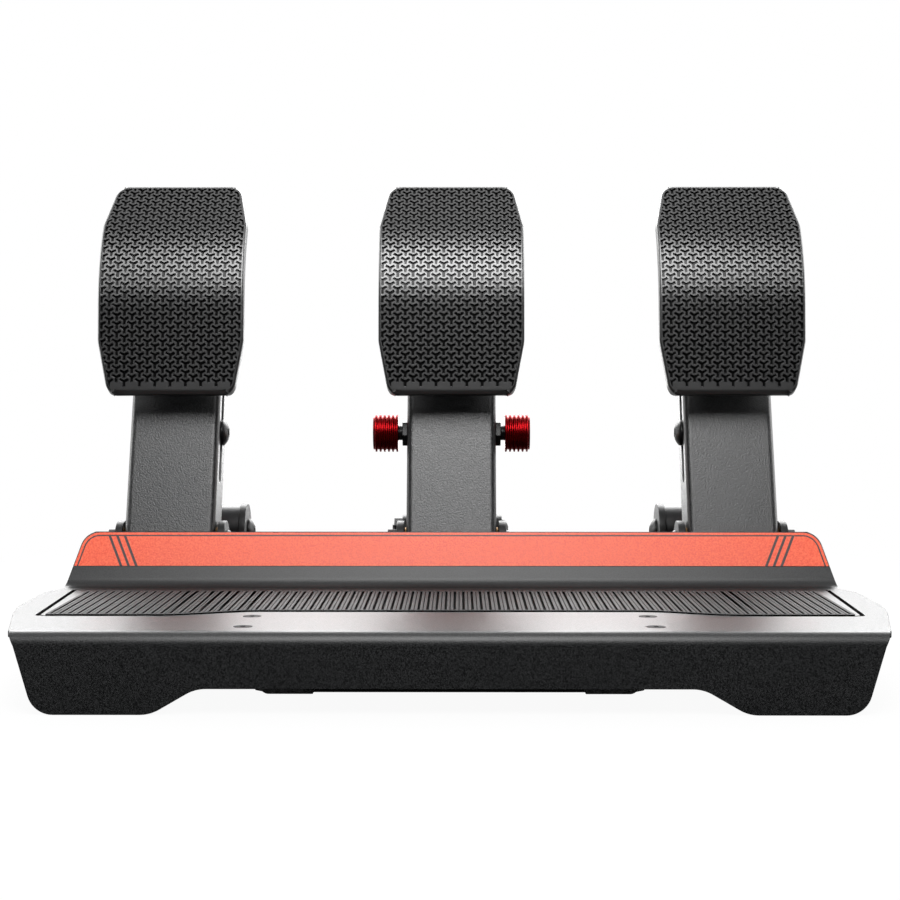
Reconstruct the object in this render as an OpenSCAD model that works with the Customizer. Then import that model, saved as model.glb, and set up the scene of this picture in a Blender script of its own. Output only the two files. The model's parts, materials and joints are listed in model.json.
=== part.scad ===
// Sim racing pedal set: clutch, brake and throttle on a folded heel plate.
// Millimetres. X to the right, Y to the rear, Z up from the floor.
// Lengths called d run rearward from the apron's front face.

/* [Layout] */
// distance between neighbouring pedals
pedal_pitch = 150; // [130:1:170]
// lean of the arms to the rear at rest
arm_lean = 20; // [14:0.5:24]
// pivot behind the foot of the riser
pivot_setback = 46; // [40:1:60]
// pivot above the floor
pivot_z = 53.5; // [48:0.5:60]
// rear strut anchor behind the pivot
anchor_back = 101; // [92:1:112]
// rear strut anchor above the floor
anchor_z = 52; // [46:0.5:58]
// apron face to the rear edge of the base plate
base_depth = 370; // [358:1:390]
// top edge of the pads above the floor
pad_high = 248; // [238:1:256]

/* [Heel plate] */
// sheet thickness of the heel plate
heel_t = 3; // [2:0.5:4]
// deck top above the floor
deck_z = 35; // [32:0.5:42]
// apron face to the foot of the riser
heel_depth = 171; // [150:1:190]
// half width of the deck where it is widest
deck_half = 203.5; // [195:0.5:212]
// half width at the front bend
front_half = 187; // [180:0.5:192]
// half width at the foot of the riser
foot_half = 197.8; // [193:0.2:202]
// half width at the top of the riser
riser_half = 189.8; // [184:0.2:195]
// height of the riser above the deck
riser_rise = 27.5; // [22:0.5:34]
// lean of the riser to the rear
riser_lean = 25; // [15:1:35]
// where the deck reaches its full width
deck_wide_d = 85.5; // [76:0.5:95]
// rounding where the deck reaches its full width
deck_wide_r = 220; // [120:5:260]
// length of the deck's slanted rear corners
deck_ear = 16; // [12:0.5:22]
// rounding of the deck's rear corners
deck_ear_r = 36; // [16:1:40]
// rounding of the riser's upper corners
riser_corner_r = 9.5; // [5:0.5:14]
// outer radius of the front bend
front_bend_r = 6; // [5:0.5:9]
// radius of the bend at the riser's foot
foot_bend_r = 8; // [5:0.5:12]
// half width of the apron just below the front bend
apron_top_half = 183.7; // [178:0.1:187]
// half width of the apron at the floor
apron_half = 175.4; // [170:0.2:180]
// rounding of the apron's lower corners
apron_corner_r = 11; // [5:0.5:14]
// inner end of each apron foot
apron_foot_in = 126; // [115:1:140]
// half width of the cut-out between the feet
cutout_half = 107; // [95:1:112]
// height of the cut-out
cutout_z = 11; // [8:0.5:14]
// rounding at the top of the cut-out
cutout_r = 17; // [8:0.5:20]
// rounding at the inner ends of the feet
foot_end_r = 17; // [8:0.5:20]

/* [Mat and film] */
// half width of the ribbed mat at its rear edge
mat_half = 189.3; // [184:0.1:192]
// half width of the ribbed mat at its front edge
mat_front_half = 185; // [180:0.5:188]
// mat thickness
mat_t = 2; // [1.5:0.1:3]
// mat's rear edge in front of the riser's foot
mat_rear_gap = 10; // [9:0.5:18]
// front edge in the middle
mat_front = 79; // [66:1:90]
// front edge at the sides
mat_front_side = 56; // [45:1:64]
// half width of the set-back middle of the front edge
mat_mid = 110; // [100:1:116]
// where the front edge has stepped forward
mat_side = 136; // [130:1:146]
// rounding of the step in the front edge
mat_step_r = 20; // [8:1:24]
// rounding of the mat's corners
mat_corner_r = 4; // [2:0.5:8]
// depth of the deck's pocket for the mat
pocket_deep = 1.3; // [0.8:0.1:1.5]
// gap round the mat in its pocket
pocket_gap = 1.5; // [0.8:0.1:2]
// spacing of the mat's ribs
rib_pitch = 4.15; // [3.5:0.05:6]
// width of a groove between ribs
groove_wide = 1.15; // [0.8:0.05:1.6]
// depth of a groove
groove_deep = 1.2; // [0.6:0.1:1.3]
// plain border round the grooves
mat_rim = 1.6; // [1:0.1:4]
// film thickness on the riser
film_t = 0.3; // [0.2:0.05:0.5]
// film's lower edge above the deck
film_low = 10.3; // [8:0.1:14]

/* [Base] */
// base plate thickness
plate_t = 4; // [3:0.5:6]
// half width of the base plate
plate_half = 188; // [184:1:195]
// half width of the tongue under the deck
tongue_half = 86.5; // [84:0.5:92]
// front edge of the tongue
tongue_front = 38; // [30:1:44]
// cut across the tongue's front corners
tongue_cut = 5; // [2:0.5:8]
// rounding of the base plate's corners
plate_corner_r = 12; // [6:1:16]
// rubber foot height
foot_h = 3.3; // [2.8:0.1:5]
// rubber foot radius
foot_r = 10; // [8:0.5:12]
// across positions of the countersunk deck screws
deck_screw_x = 89; // [87:0.5:93]
// front row of deck screws
deck_screw_front = 19.6; // [16:0.2:24]
// rear row of deck screws
deck_screw_rear = 54.5; // [48:0.5:60]
// radius of the deck screws
deck_screw_r = 2; // [1.5:0.25:2.5]
// radius of the deck screws' heads
deck_head_r = 4.2; // [3.8:0.1:5]
// depth of the deck screws' heads
deck_head_h = 2; // [1.5:0.1:2]
// gap round a screw head in its countersink
screw_fit = 0.1; // [0.05:0.05:0.2]
// sheet of the rails that carry the deck
rail_t = 3; // [2:0.5:3.5]
// width of a rail's lower flange
rail_foot = 20; // [17:0.5:24]
// rail's upper flange beyond the deck screws
rail_lip = 9; // [7:0.5:11]
// rail screws in from the rail's upright
rail_screw_in = 12; // [9:0.5:13]
// rail's front end behind the apron face
rail_front = 10; // [8:0.5:14]
// rail's rear end in front of the riser's foot
rail_rear_gap = 9; // [9:0.5:14]
// radius of the rail screws
rail_screw_r = 2.5; // [2:0.25:3]
// half spacing across of the floor bolts
mount_x = 75; // [70:1:80]
// radius of the floor bolt holes
mount_r = 3.3; // [2.7:0.1:4.3]

/* [Arms] */
// half width of an arm
arm_half = 24; // [21:0.5:27]
// sheet thickness of an arm
arm_t = 3; // [2.5:0.5:4]
// arm web in front of the pivot
web_front = 13; // [12:0.5:15]
// arm's end above the pad's bottom edge
arm_rise = 90; // [80:0.5:94]
// radius of the pivot and cross bolts
pin_r = 4; // [3:0.25:5]
// cross bolt above the pivot, along the arm
cross_w = 62.5; // [58:0.5:68]
// bush wall
bush_wall = 2; // [1.5:0.25:2.5]
// bush collar thickness
collar_t = 0.9; // [0.7:0.1:1.4]
// gap between pieces that turn past each other
run_gap = 0.3; // [0.3:0.05:0.5]
// radial fit of a turning pin
pin_fit = 0.05; // [0.02:0.01:0.09]

/* [Pads] */
// pad thickness
pad_t = 7; // [5:0.5:9]
// half width of a pad
pad_half = 39; // [36:0.2:44]
// half width at a pad's ends
pad_end_half = 33.5; // [30:0.5:36]
// straight length from the bottom edge to the bend line
pad_lower = 73.1; // [66:0.1:80]
// straight length from the bend line to the top edge
pad_upper = 54.7; // [50:0.1:62]
// radius of the pad's bend
pad_bend_r = 76; // [60:1:90]
// lower flat against the arm
pad_lower_tilt = 16; // [12:0.5:20]
// upper flat against the arm
pad_upper_tilt = 20; // [14:0.5:24]
// height of the pad's lower and upper tapers
pad_taper = 28; // [20:0.5:36]
// rounding of the pad's corners
pad_corner_r = 8; // [4:0.5:10]
// rounding where the tapers meet the pad's sides
pad_side_r = 14; // [6:1:24]
// sheet thickness of the bracket behind a pad
carrier_t = 3; // [2:0.5:3.5]
// pad screws in from the ends of the bracket
carrier_screw_in = 14; // [11:0.5:18]
// pad's bottom edge in front of the arm web
pad_stand = 20; // [16:0.2:24]
// half width of the bracket behind a pad
carrier_half = 20; // [17:0.5:22]

/* [Struts] */
// piston rod radius
rod_r = 5; // [4:0.25:5.5]
// guide tube radius
tube_r = 8; // [7:0.25:8.5]
// radius of spring seats and preload nuts
seat_r = 15; // [14:0.5:17]
// mean radius of the coils
coil_r = 12; // [11:0.25:13]
// spring wire radius
wire_r = 1.3; // [1:0.05:1.5]
// turns of the spring
coil_turns = 6.5; // [5:0.5:7.5]
// gap between the brake's rubber spring and its upper seat
soft_gap = 0.3; // [0.3:0.05:0.5]
// free play of the open upper eye round the cross bolt
eye_play = 1; // [0.8:0.1:1.5]
// radius of the upper eye
eye_r = 8.5; // [7.5:0.25:8.8]
// radius of the brake strut's rear barrel
barrel_r = 10; // [9:0.5:12]
// radius of the other struts' rear barrels
side_barrel_r = 15; // [12:0.5:16]

/* [Brackets and small parts] */
// bracket sheet thickness
bracket_t = 4; // [3:0.5:5]
// radius of the ear round the pivot
ear_r = 12; // [10.5:0.5:13]
// radius of the ear round the rear anchor of the clutch and the throttle
rear_ear_r = 16; // [14:0.5:18]
// radius of the ear round the brake's rear anchor
brake_ear_r = 9.5; // [8:0.5:12]
// red knob radius
knob_r = 10.4; // [9:0.1:12]
// red knob length
knob_len = 13.7; // [11:0.1:16]
// rings turned on a knob
knob_rings = 6; // [4:1:8]
// control box length
box_len = 74; // [60:1:80]
// control box width
box_wide = 60; // [50:1:64]
// control box height
box_high = 21; // [18:0.5:26]
// thickness of the control box's lid
lid_t = 2; // [1.5:0.25:3]
// spacing of the sockets in the control box
socket_pitch = 18; // [15:0.5:19]

/* [Hidden] */
$fn = 48;
part_eps = 0.01;
pivot_d = heel_depth + pivot_setback;
anchor_d = pivot_d + anchor_back;
bracket_nose = 19;
bracket_tail = 20;
bracket_front = pivot_d - bracket_nose;
bracket_rear = anchor_d + bracket_tail;
total_depth = base_depth;
mat_rear = heel_depth - mat_rear_gap;
mat_z = deck_z - pocket_deep;
bend_d = heel_depth - foot_bend_r * tan(45 - riser_lean / 2);
arc_gap = 0.1;
riser_top_z = deck_z + riser_rise;
riser_top_d = heel_depth + riser_rise * tan(riser_lean);
plate_z = foot_h;
plate_top = plate_z + plate_t;
plate_behind = 5;
plate_front = heel_depth + plate_behind;
bush_r = pin_r + bush_wall;
cheek_in = arm_half + collar_t + run_gap;
cheek_out = cheek_in + bracket_t;
floor_z = plate_top + bracket_t;
rail_edge = 8.5;
rail_in = tongue_half - rail_edge;
rail_screw_back = 37;
rail_screw_ahead = 26;
rail_screw_front = tongue_front + rail_screw_back;
rail_screw_rear = heel_depth - rail_screw_ahead;
rail_head_over = 2.1;
rail_head_r = rail_screw_r + rail_head_over;
rail_head_h = 2.8;
bolt_head_r = 7;
bolt_head_h = 4.4;
bolt_dome_r = 9.4;
bolt_socket_z = 1.6;
bolt_socket_r = 2.9;
nut_r = 7.5;
nut_h = 5;
small_r = 3;
small_head_r = 5.25;
small_head_h = 3.3;
small_socket_z = 1.3;
small_socket_r = 2.3;
small_nut_r = 6;
small_nut_h = 2.3;
bracket_bolt_x = 14;
bolt_behind_pivot = 21;
bolt_behind_anchor = 8;
bracket_bolt_front = pivot_d + bolt_behind_pivot;
bracket_bolt_rear = anchor_d + bolt_behind_anchor;
slot_play = 8;
slot_fit = 0.3;
mount_back = 24;
mount_front = plate_front + mount_back;
mount_rear = mount_front + 2 * mount_x;
pads_x = [-pedal_pitch, 0, pedal_pitch];

// the pad's bottom edge along the arm, from the height of its top edge
pad_front = -web_front - pad_stand;
pad_top_back = pad_front - pad_lower * sin(pad_lower_tilt) + pad_upper * sin(pad_upper_tilt);
pad_run = pad_lower * cos(pad_lower_tilt) + pad_upper * cos(pad_upper_tilt);
pad_low_w = (pad_high - pivot_z + pad_top_back * sin(arm_lean)) / cos(arm_lean) - pad_run;
arm_len = pad_low_w + arm_rise;

// the pad's front edge line in the arm's own frame: rearward, up
pad_low = [pad_front, pad_low_w, 0];
pad_knee = [
    pad_low[0] - pad_lower * sin(pad_lower_tilt),
    pad_low[1] + pad_lower * cos(pad_lower_tilt),
    pad_bend_r
];
pad_top = [
    pad_knee[0] + pad_upper * sin(pad_upper_tilt),
    pad_knee[1] + pad_upper * cos(pad_upper_tilt),
    0
];
pad_path = [pad_low, pad_knee, pad_top];
carrier_up = 16;
carrier_down = 3;
carrier_low = pad_low_w + carrier_up;
carrier_top = arm_len - carrier_down;
carrier_screws = [carrier_low + carrier_screw_in, carrier_top - carrier_screw_in];

// the strut runs from the rear anchor up to the cross bolt
cross_d = pivot_d + cross_w * sin(arm_lean);
cross_z = pivot_z + cross_w * cos(arm_lean);
strut_len = norm([cross_d - anchor_d, cross_z - anchor_z]);
strut_tip = atan2(anchor_d - cross_d, cross_z - anchor_z);
eye_to_seat = 14;
seat_t = 4;
tube_out = 12;
nut_t = 6;
rod_under = 2;
bore_floor = 2;
cell_gap = 1;
seat_low = strut_len - eye_to_seat - seat_t;
tube_top = strut_len / 2;
nut_top = tube_top - tube_out;
nut_low = nut_top - nut_t;
rod_low = nut_top - rod_under;
bore_low = barrel_r + bore_floor;
cell_low = barrel_r + cell_gap;
eye_half = 16;
stud_out = 16;
stud_end = arm_half + stud_out;
stud_nut_h = 2.8;
knob_out = 5;
knob_in = arm_half + knob_out;

function unit(v) = v / norm(v);
function flat(p) = [p[0], p[1]];
function turned(p, a) = [p[0] * cos(a) - p[1] * sin(a), p[0] * sin(a) + p[1] * cos(a)];
function crossed(a, b) = a[0] * b[1] - a[1] * b[0];
function mirrored(list) = [for (i = [len(list) - 1 : -1 : 0]) [-list[i][0], list[i][1], list[i][2]]];
function reversed(list) = [for (i = [len(list) - 1 : -1 : 0]) list[i]];

// arc of radius c[2] in the corner c between its neighbours a and b
function fillet(a, c, b) =
    let (
        u = unit(flat(a) - flat(c)),
        v = unit(flat(b) - flat(c)),
        half = acos(u * v) / 2,
        centre = flat(c) + unit(u + v) * c[2] / sin(half),
        start = flat(c) + u * c[2] / tan(half) - centre,
        sweep = (crossed(u, v) < 0 ? 1 : -1) * (180 - 2 * half),
        steps = 10
    )
    [for (i = [0 : steps]) centre + turned(start, sweep * i / steps)];

// corners given as x, y and radius, turned into plain points
function rounded(list) =
    let (n = len(list))
    [
        for (i = [0 : n - 1])
            each list[i][2] > 0
                ? fillet(list[(i + n - 1) % n], list[i], list[(i + 1) % n])
                : [flat(list[i])]
    ];

function right_of(a, b) = let (u = unit(flat(b) - flat(a))) [u[1], -u[0]];

// the same open line, moved t to its right
function beside(path, t) =
    let (last = len(path) - 1)
    [
        for (i = [0 : last])
            let (
                a = right_of(path[max(i - 1, 0)], path[max(i, 1)]),
                b = right_of(path[min(i, last - 1)], path[min(i + 1, last)]),
                m = (a + b) / (1 + a * b),
                r = path[i][2]
            )
            [path[i][0] + m[0] * t, path[i][1] + m[1] * t, r > 0 ? r + t * sign(crossed(a, b)) : 0]
    ];

// outline of a bent sheet whose visible side is the path
function sheet(path, t) = concat(rounded(path), reversed(rounded(beside(path, t))));

module stand() {
    translate([0, -total_depth / 2, 0]) children();
}

// outlines drawn rearward and up, pulled across
module across(wide) {
    rotate([90, 0, 90]) linear_extrude(height = wide, center = true) children();
}

// outlines drawn right and up, pulled rearward from one d to another
module rearward(from, to) {
    translate([0, to, 0]) rotate([90, 0, 0]) linear_extrude(height = to - from) children();
}

// outlines drawn right and rearward, pulled up from one height to another
module upward(from, to) {
    translate([0, 0, from]) linear_extrude(height = to - from) children();
}

module pin_x(r, from, to) {
    translate([from, 0, 0]) rotate([0, 90, 0]) cylinder(r = r, h = to - from);
}

module on_arm(x) {
    stand() translate([x, pivot_d, pivot_z]) rotate([-arm_lean, 0, 0]) children();
}

// frame of a strut: its own Z runs from the rear anchor to the cross bolt
module on_strut(x) {
    stand() translate([x, anchor_d, anchor_z]) rotate([strut_tip, 0, 0]) children();
}

// heel plate

module heel_sheet() {
    path = [
        [0, 0, 0],
        [0, deck_z, front_bend_r],
        [heel_depth, deck_z, foot_bend_r],
        [riser_top_d, riser_top_z, 0]
    ];
    across(2 * deck_half + 10) polygon(sheet(path, heel_t));
}

module apron_outline() {
    half = [
        [apron_half, 0, apron_corner_r],
        [apron_top_half, deck_z - front_bend_r, 0],
        [front_half, deck_z + 1, 0]
    ];
    feet = [[cutout_half, cutout_z, cutout_r], [apron_foot_in, 0, foot_end_r]];
    polygon(rounded(concat(feet, half, mirrored(half), mirrored(feet))));
}

module deck_outline() {
    half = [
        [front_half, front_bend_r, 0],
        [deck_half, deck_wide_d, deck_wide_r],
        [deck_half, bend_d - deck_ear, deck_ear_r],
        [foot_half, bend_d + part_eps, 0]
    ];
    polygon(rounded(concat(half, mirrored(half))));
}

module riser_outline(inset) {
    half = [
        [foot_half - inset, deck_z - heel_t - 1, 0],
        [foot_half - inset, deck_z + 1, 0],
        [riser_half - inset, riser_top_z - inset, riser_corner_r]
    ];
    polygon(rounded(concat(half, mirrored(half))));
}

// a flat-head screw's shape down from the deck, grown all round by a gap
module deck_screw_shape(gap, below) {
    translate([0, 0, deck_z - heel_t - below]) cylinder(r = deck_screw_r + gap, h = heel_t + below);
    translate([0, 0, deck_z - deck_head_h])
        cylinder(r1 = deck_screw_r + gap, r2 = deck_head_r + gap, h = deck_head_h);
}

// the mat's outline, grown all round by a gap; the slanted step keeps its distance too
module mat_outline(gap) {
    step_turn = atan2(mat_front - mat_front_side, mat_side - mat_mid);
    shift = gap * tan(step_turn / 2);
    flare = (mat_half - mat_front_half) / (mat_rear - mat_front_side);
    side_gap = gap * norm([1, flare]);
    half = [
        [mat_mid - shift, mat_front - gap, mat_step_r],
        [mat_side - shift, mat_front_side - gap, mat_step_r],
        [mat_front_half + side_gap - gap * flare, mat_front_side - gap, mat_corner_r + max(gap, 0)],
        [mat_half + side_gap + gap * flare, mat_rear + gap, mat_corner_r + max(gap, 0)]
    ];
    polygon(rounded(concat(half, mirrored(half))));
}

module deck_screw_spots() {
    for (x = [-deck_screw_x, deck_screw_x])
        for (d = [deck_screw_front, deck_screw_rear])
            translate([x, d, 0]) children();
}

module heel_plate() {
    color("dimgray") stand() difference() {
        intersection() {
            heel_sheet();
            union() {
                rearward(-1, front_bend_r) apron_outline();
                upward(deck_z - heel_t - 1, deck_z + 1) deck_outline();
                rearward(bend_d, riser_top_d + heel_t + 1) riser_outline(0);
            }
        }
        deck_screw_spots() {
            deck_screw_shape(screw_fit, 1);
            translate([0, 0, deck_z]) cylinder(r = deck_head_r + screw_fit, h = 1);
        }
        upward(mat_z, deck_z + 1) mat_outline(pocket_gap);
    }
}

module heel_mat() {
    top = mat_z + mat_t;
    ribs = floor((2 * mat_front_half - 2 * mat_rim) / rib_pitch);
    color([0.12, 0.12, 0.13]) stand() difference() {
        upward(mat_z, top) mat_outline(0);
        intersection() {
            upward(top - groove_deep, top + 1) mat_outline(-mat_rim);
            for (i = [0 : ribs - 1])
                translate([(i - (ribs - 1) / 2) * rib_pitch, (mat_front_side + mat_rear) / 2, top])
                    cube([groove_wide, mat_rear - mat_front_side + 1, 2 * groove_deep + 1], center = true);
        }
    }
}

module riser_decal() {
    up = 1 / cos(riser_lean);
    film_in = 0.5;
    spare = 5;
    color("orangered") stand() intersection() {
        translate([0, heel_depth, deck_z]) rotate([-riser_lean, 0, 0])
            translate([-deck_half, -film_t, film_low * up])
                cube([2 * deck_half, film_t, (riser_rise - film_low) * up]);
        rearward(heel_depth - spare, riser_top_d + spare) riser_outline(film_in);
    }
}

// base

module plate_outline() {
    half = [
        [tongue_half - tongue_cut, tongue_front, 0],
        [tongue_half, tongue_front + tongue_cut, 0],
        [tongue_half, plate_front, plate_corner_r / 2],
        [plate_half, plate_front, plate_corner_r],
        [plate_half, total_depth, plate_corner_r]
    ];
    polygon(rounded(concat(half, mirrored(half))));
}

module slot_cut(half_len, r, from, to) {
    for (x = [-half_len, half_len]) translate([x, 0, from]) cylinder(r = r, h = to - from);
    translate([-half_len, -r, from]) cube([2 * half_len, 2 * r, to - from]);
}

module bracket_bolt_spots() {
    for (x = pads_x)
        for (s = [-1, 1])
            for (d = [bracket_bolt_front, bracket_bolt_rear])
                translate([x + s * bracket_bolt_x, d, 0]) children();
}

module rail_screw_spots() {
    for (s = [-1, 1])
        for (d = [rail_screw_front, rail_screw_rear])
            translate([s * (rail_in - rail_screw_in), d, 0]) children();
}

module base_plate() {
    color([0.2, 0.2, 0.21]) stand() difference() {
        upward(plate_z, plate_top) plate_outline();
        bracket_bolt_spots() slot_cut(slot_play / 2, small_r + slot_fit, plate_z - 1, plate_top + 1);
        rail_screw_spots() translate([0, 0, plate_z - 1]) cylinder(r = rail_screw_r, h = plate_t + 2);
        for (x = [-mount_x, mount_x])
            for (d = [mount_front, mount_rear])
                translate([x, d, plate_z - 1]) cylinder(r = mount_r, h = plate_t + 2);
    }
}

module deck_rail(s) {
    seat = deck_z - heel_t - rail_t;
    path = [
        [rail_in - rail_foot, plate_top, 0],
        [rail_in + rail_t, plate_top, rail_t + 1],
        [rail_in + rail_t, seat, 1],
        [deck_screw_x + rail_lip, seat, 0]
    ];
    color("dimgray") stand() difference() {
        mirror([s < 0 ? 1 : 0, 0, 0]) rearward(rail_front, heel_depth - rail_rear_gap)
            polygon(sheet(path, -rail_t));
        deck_screw_spots() translate([0, 0, seat - 1]) cylinder(r = deck_screw_r, h = rail_t + 2);
        rail_screw_spots() translate([0, 0, plate_top - 1]) cylinder(r = rail_screw_r, h = rail_t + 2);
    }
}

module deck_rail_left() {
    deck_rail(-1);
}

module deck_rail_right() {
    deck_rail(1);
}

module deck_screws() {
    socket_share = 0.3;
    socket_deep = 0.6;
    color("silver") stand() deck_screw_spots() difference() {
        deck_screw_shape(0, rail_t + deck_screw_r);
        translate([0, 0, deck_z - deck_head_h * socket_deep])
            cylinder(r = deck_head_r * socket_share, h = deck_head_h, $fn = 6);
    }
}

module rail_screws() {
    color("black") stand() rail_screw_spots() {
        translate([0, 0, plate_top + rail_t]) cylinder(r = rail_head_r, h = rail_head_h);
        translate([0, 0, plate_z]) cylinder(r = rail_screw_r, h = plate_t + rail_t + 1);
    }
}

module rubber_feet() {
    edge = 8;
    front_edge = 4;
    tongue_edge = 6.5;
    tongue_back = 52;
    inset = foot_r + edge;
    places = [
        [plate_half - inset, plate_front + foot_r + front_edge],
        [plate_half - inset, total_depth - inset],
        [tongue_half - foot_r - tongue_edge, tongue_front + tongue_back]
    ];
    color([0.08, 0.08, 0.08]) stand()
        for (s = [-1, 1])
            for (p = places) translate([s * p[0], p[1], 0]) cylinder(r = foot_r, h = foot_h);
}

// pedal brackets

module bracket_side(rear_r) {
    ear_top = pivot_z + ear_r;
    rear_top = anchor_z + rear_r;
    dip_deep = 20;
    dip_r = 12;
    dip = pivot_z - dip_deep;
    ear_spread = 2;
    ear_foot = 4;
    rear_foot = 6;
    nose_drop = 8;
    nose_r = 6;
    polygon(rounded([
        [bracket_front, plate_top, 0],
        [bracket_rear, plate_top, 0],
        [bracket_rear - ear_spread, dip, dip_r],
        [anchor_d + rear_r, rear_top, rear_r - arc_gap],
        [anchor_d - rear_r, rear_top, rear_r - arc_gap],
        [anchor_d - rear_r - rear_foot, dip, dip_r],
        [pivot_d + ear_r + ear_foot, dip, dip_r],
        [pivot_d + ear_r, ear_top, ear_r - arc_gap],
        [pivot_d - ear_r, ear_top, ear_r - arc_gap],
        [pivot_d - ear_r - ear_spread, dip, nose_drop],
        [bracket_front, dip - nose_drop, nose_r]
    ]));
}

module bracket(x, rear_r) {
    spare = 5;
    top = max(pivot_z + ear_r, anchor_z + rear_r) + spare;
    bend_r = bracket_t + 2;
    path = [
        [cheek_out, top, 0],
        [cheek_out, plate_top, bend_r],
        [-cheek_out, plate_top, bend_r],
        [-cheek_out, top, 0]
    ];
    color("dimgray") stand() difference() {
        translate([x, 0, 0]) intersection() {
            rearward(bracket_front - 1, bracket_rear + 1) polygon(sheet(path, bracket_t));
            across(2 * (cheek_out + spare)) bracket_side(rear_r);
        }
        translate([x, pivot_d, pivot_z]) pin_x(pin_r, -cheek_out - 1, cheek_out + 1);
        translate([x, anchor_d, anchor_z]) pin_x(pin_r, -cheek_out - 1, cheek_out + 1);
        bracket_bolt_spots() translate([0, 0, plate_top - 1]) cylinder(r = small_r, h = bracket_t + 2);
    }
}

module clutch_bracket() {
    bracket(pads_x[0], rear_ear_r);
}

module brake_bracket() {
    bracket(pads_x[1], brake_ear_r);
}

module throttle_bracket() {
    bracket(pads_x[2], rear_ear_r);
}

module bracket_bolts() {
    color("black") stand() bracket_bolt_spots() {
        translate([0, 0, floor_z]) difference() {
            cylinder(r = small_head_r, h = small_head_h);
            translate([0, 0, small_socket_z]) cylinder(r = small_socket_r, h = small_head_h, $fn = 6);
        }
        translate([0, 0, plate_z - small_nut_h])
            cylinder(r = small_r, h = floor_z - plate_z + small_nut_h + 0.3);
        translate([0, 0, plate_z - small_nut_h]) difference() {
            cylinder(r = small_nut_r, h = small_nut_h, $fn = 6);
            translate([0, 0, -1]) cylinder(r = small_r - part_eps, h = small_nut_h + 2);
        }
    }
}

// head of a button screw whose seat lies at x = 0 and whose top points to +X
module button_head() {
    rotate([0, 90, 0]) difference() {
        intersection() {
            cylinder(r = bolt_head_r, h = bolt_head_h);
            translate([0, 0, bolt_head_h - bolt_dome_r]) sphere(r = bolt_dome_r);
        }
        translate([0, 0, bolt_socket_z]) cylinder(r = bolt_socket_r, h = bolt_head_h, $fn = 6);
    }
}

module hinge_spots() {
    for (x = pads_x)
        for (p = [[pivot_d, pivot_z], [anchor_d, anchor_z]])
            translate([x, p[0], p[1]]) mirror([x > 0 ? 1 : 0, 0, 0]) children();
}

module hinge_bolts() {
    color("black") stand() hinge_spots() {
        translate([cheek_out, 0, 0]) button_head();
        pin_x(pin_r, -cheek_out - nut_h - 1, cheek_out + 1);
    }
}

module hinge_nuts() {
    color("black") stand() hinge_spots() translate([-cheek_out, 0, 0]) rotate([0, -90, 0]) difference() {
        cylinder(r = nut_r, h = nut_h, $fn = 6);
        translate([0, 0, -1]) cylinder(r = pin_r, h = nut_h + 2);
    }
}

// arms

module arm_side() {
    swell = 1;
    swell_w = 60;
    swell_r = 30;
    tip_in = 5;
    tip_r = 6;
    tip_front_r = 4;
    polygon(rounded([
        [-web_front, -web_front, web_front - arc_gap],
        [web_front, -web_front, web_front - arc_gap],
        [web_front + swell, swell_w, swell_r],
        [web_front - tip_in, arm_len, tip_r],
        [-web_front, arm_len, tip_front_r]
    ]));
}

module arm(x) {
    spare = 5;
    bend_r = arm_t + 0.5;
    path = [
        [arm_half, web_front + spare, 0],
        [arm_half, -web_front, bend_r],
        [-arm_half, -web_front, bend_r],
        [-arm_half, web_front + spare, 0]
    ];
    slot_r = pin_r + 0.2;
    color("dimgray") on_arm(x) difference() {
        intersection() {
            upward(-web_front - 1, arm_len + 1) polygon(sheet(path, arm_t));
            across(2 * (arm_half + spare)) arm_side();
        }
        pin_x(bush_r, -arm_half - 1, arm_half + 1);
        translate([0, 0, cross_w]) rotate([0, 90, 0])
            slot_turned(slot_r);
        for (w = carrier_screws)
            translate([0, -web_front - 1, w]) rotate([-90, 0, 0]) cylinder(r = small_r, h = arm_t + 2);
    }
}

// the long slot for the cross bolt in both flanges of an arm
module slot_turned(r) {
    down = 2;
    half_len = 22;
    translate([down, 0, 0]) slot_cut(half_len, r, -arm_half - 1, arm_half + 1);
}

module clutch_arm() {
    arm(pads_x[0]);
}

module brake_arm() {
    arm(pads_x[1]);
}

module throttle_arm() {
    arm(pads_x[2]);
}

module pivot_bushes(x) {
    tail = 2;
    collar_over = 2.5;
    color("goldenrod") on_arm(x)
        for (s = [0, 1]) mirror([s, 0, 0]) difference() {
            union() {
                pin_x(bush_r, arm_half - arm_t - tail, arm_half + collar_t);
                pin_x(bush_r + collar_over, arm_half, arm_half + collar_t);
            }
            pin_x(pin_r + pin_fit, arm_half - arm_t - 2 * tail, arm_half + collar_t + 1);
        }
}

module clutch_pivot_bushes() {
    pivot_bushes(pads_x[0]);
}

module brake_pivot_bushes() {
    pivot_bushes(pads_x[1]);
}

module throttle_pivot_bushes() {
    pivot_bushes(pads_x[2]);
}

module pad_outline() {
    low = pad_low[1];
    top = pad_top[1];
    half = [
        [pad_end_half, low - arc_gap, pad_corner_r],
        [pad_half, low + pad_taper, pad_side_r],
        [pad_half, top - pad_taper, pad_side_r],
        [pad_end_half, top + arc_gap, pad_corner_r]
    ];
    polygon(rounded(concat(half, mirrored(half))));
}

module pad(x) {
    color([0.15, 0.15, 0.16]) on_arm(x) intersection() {
        across(2 * pad_half + 10) polygon(sheet(pad_path, pad_t));
        rearward(pad_knee[0] - 10, pad_t) pad_outline();
    }
}

module clutch_pad() {
    pad(pads_x[0]);
}

module brake_pad() {
    pad(pads_x[1]);
}

module throttle_pad() {
    pad(pads_x[2]);
}

module behind_line(line, back) {
    polygon(concat(rounded(line), [[back, line[len(line) - 1][1]], [back, line[0][1]]]));
}

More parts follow.
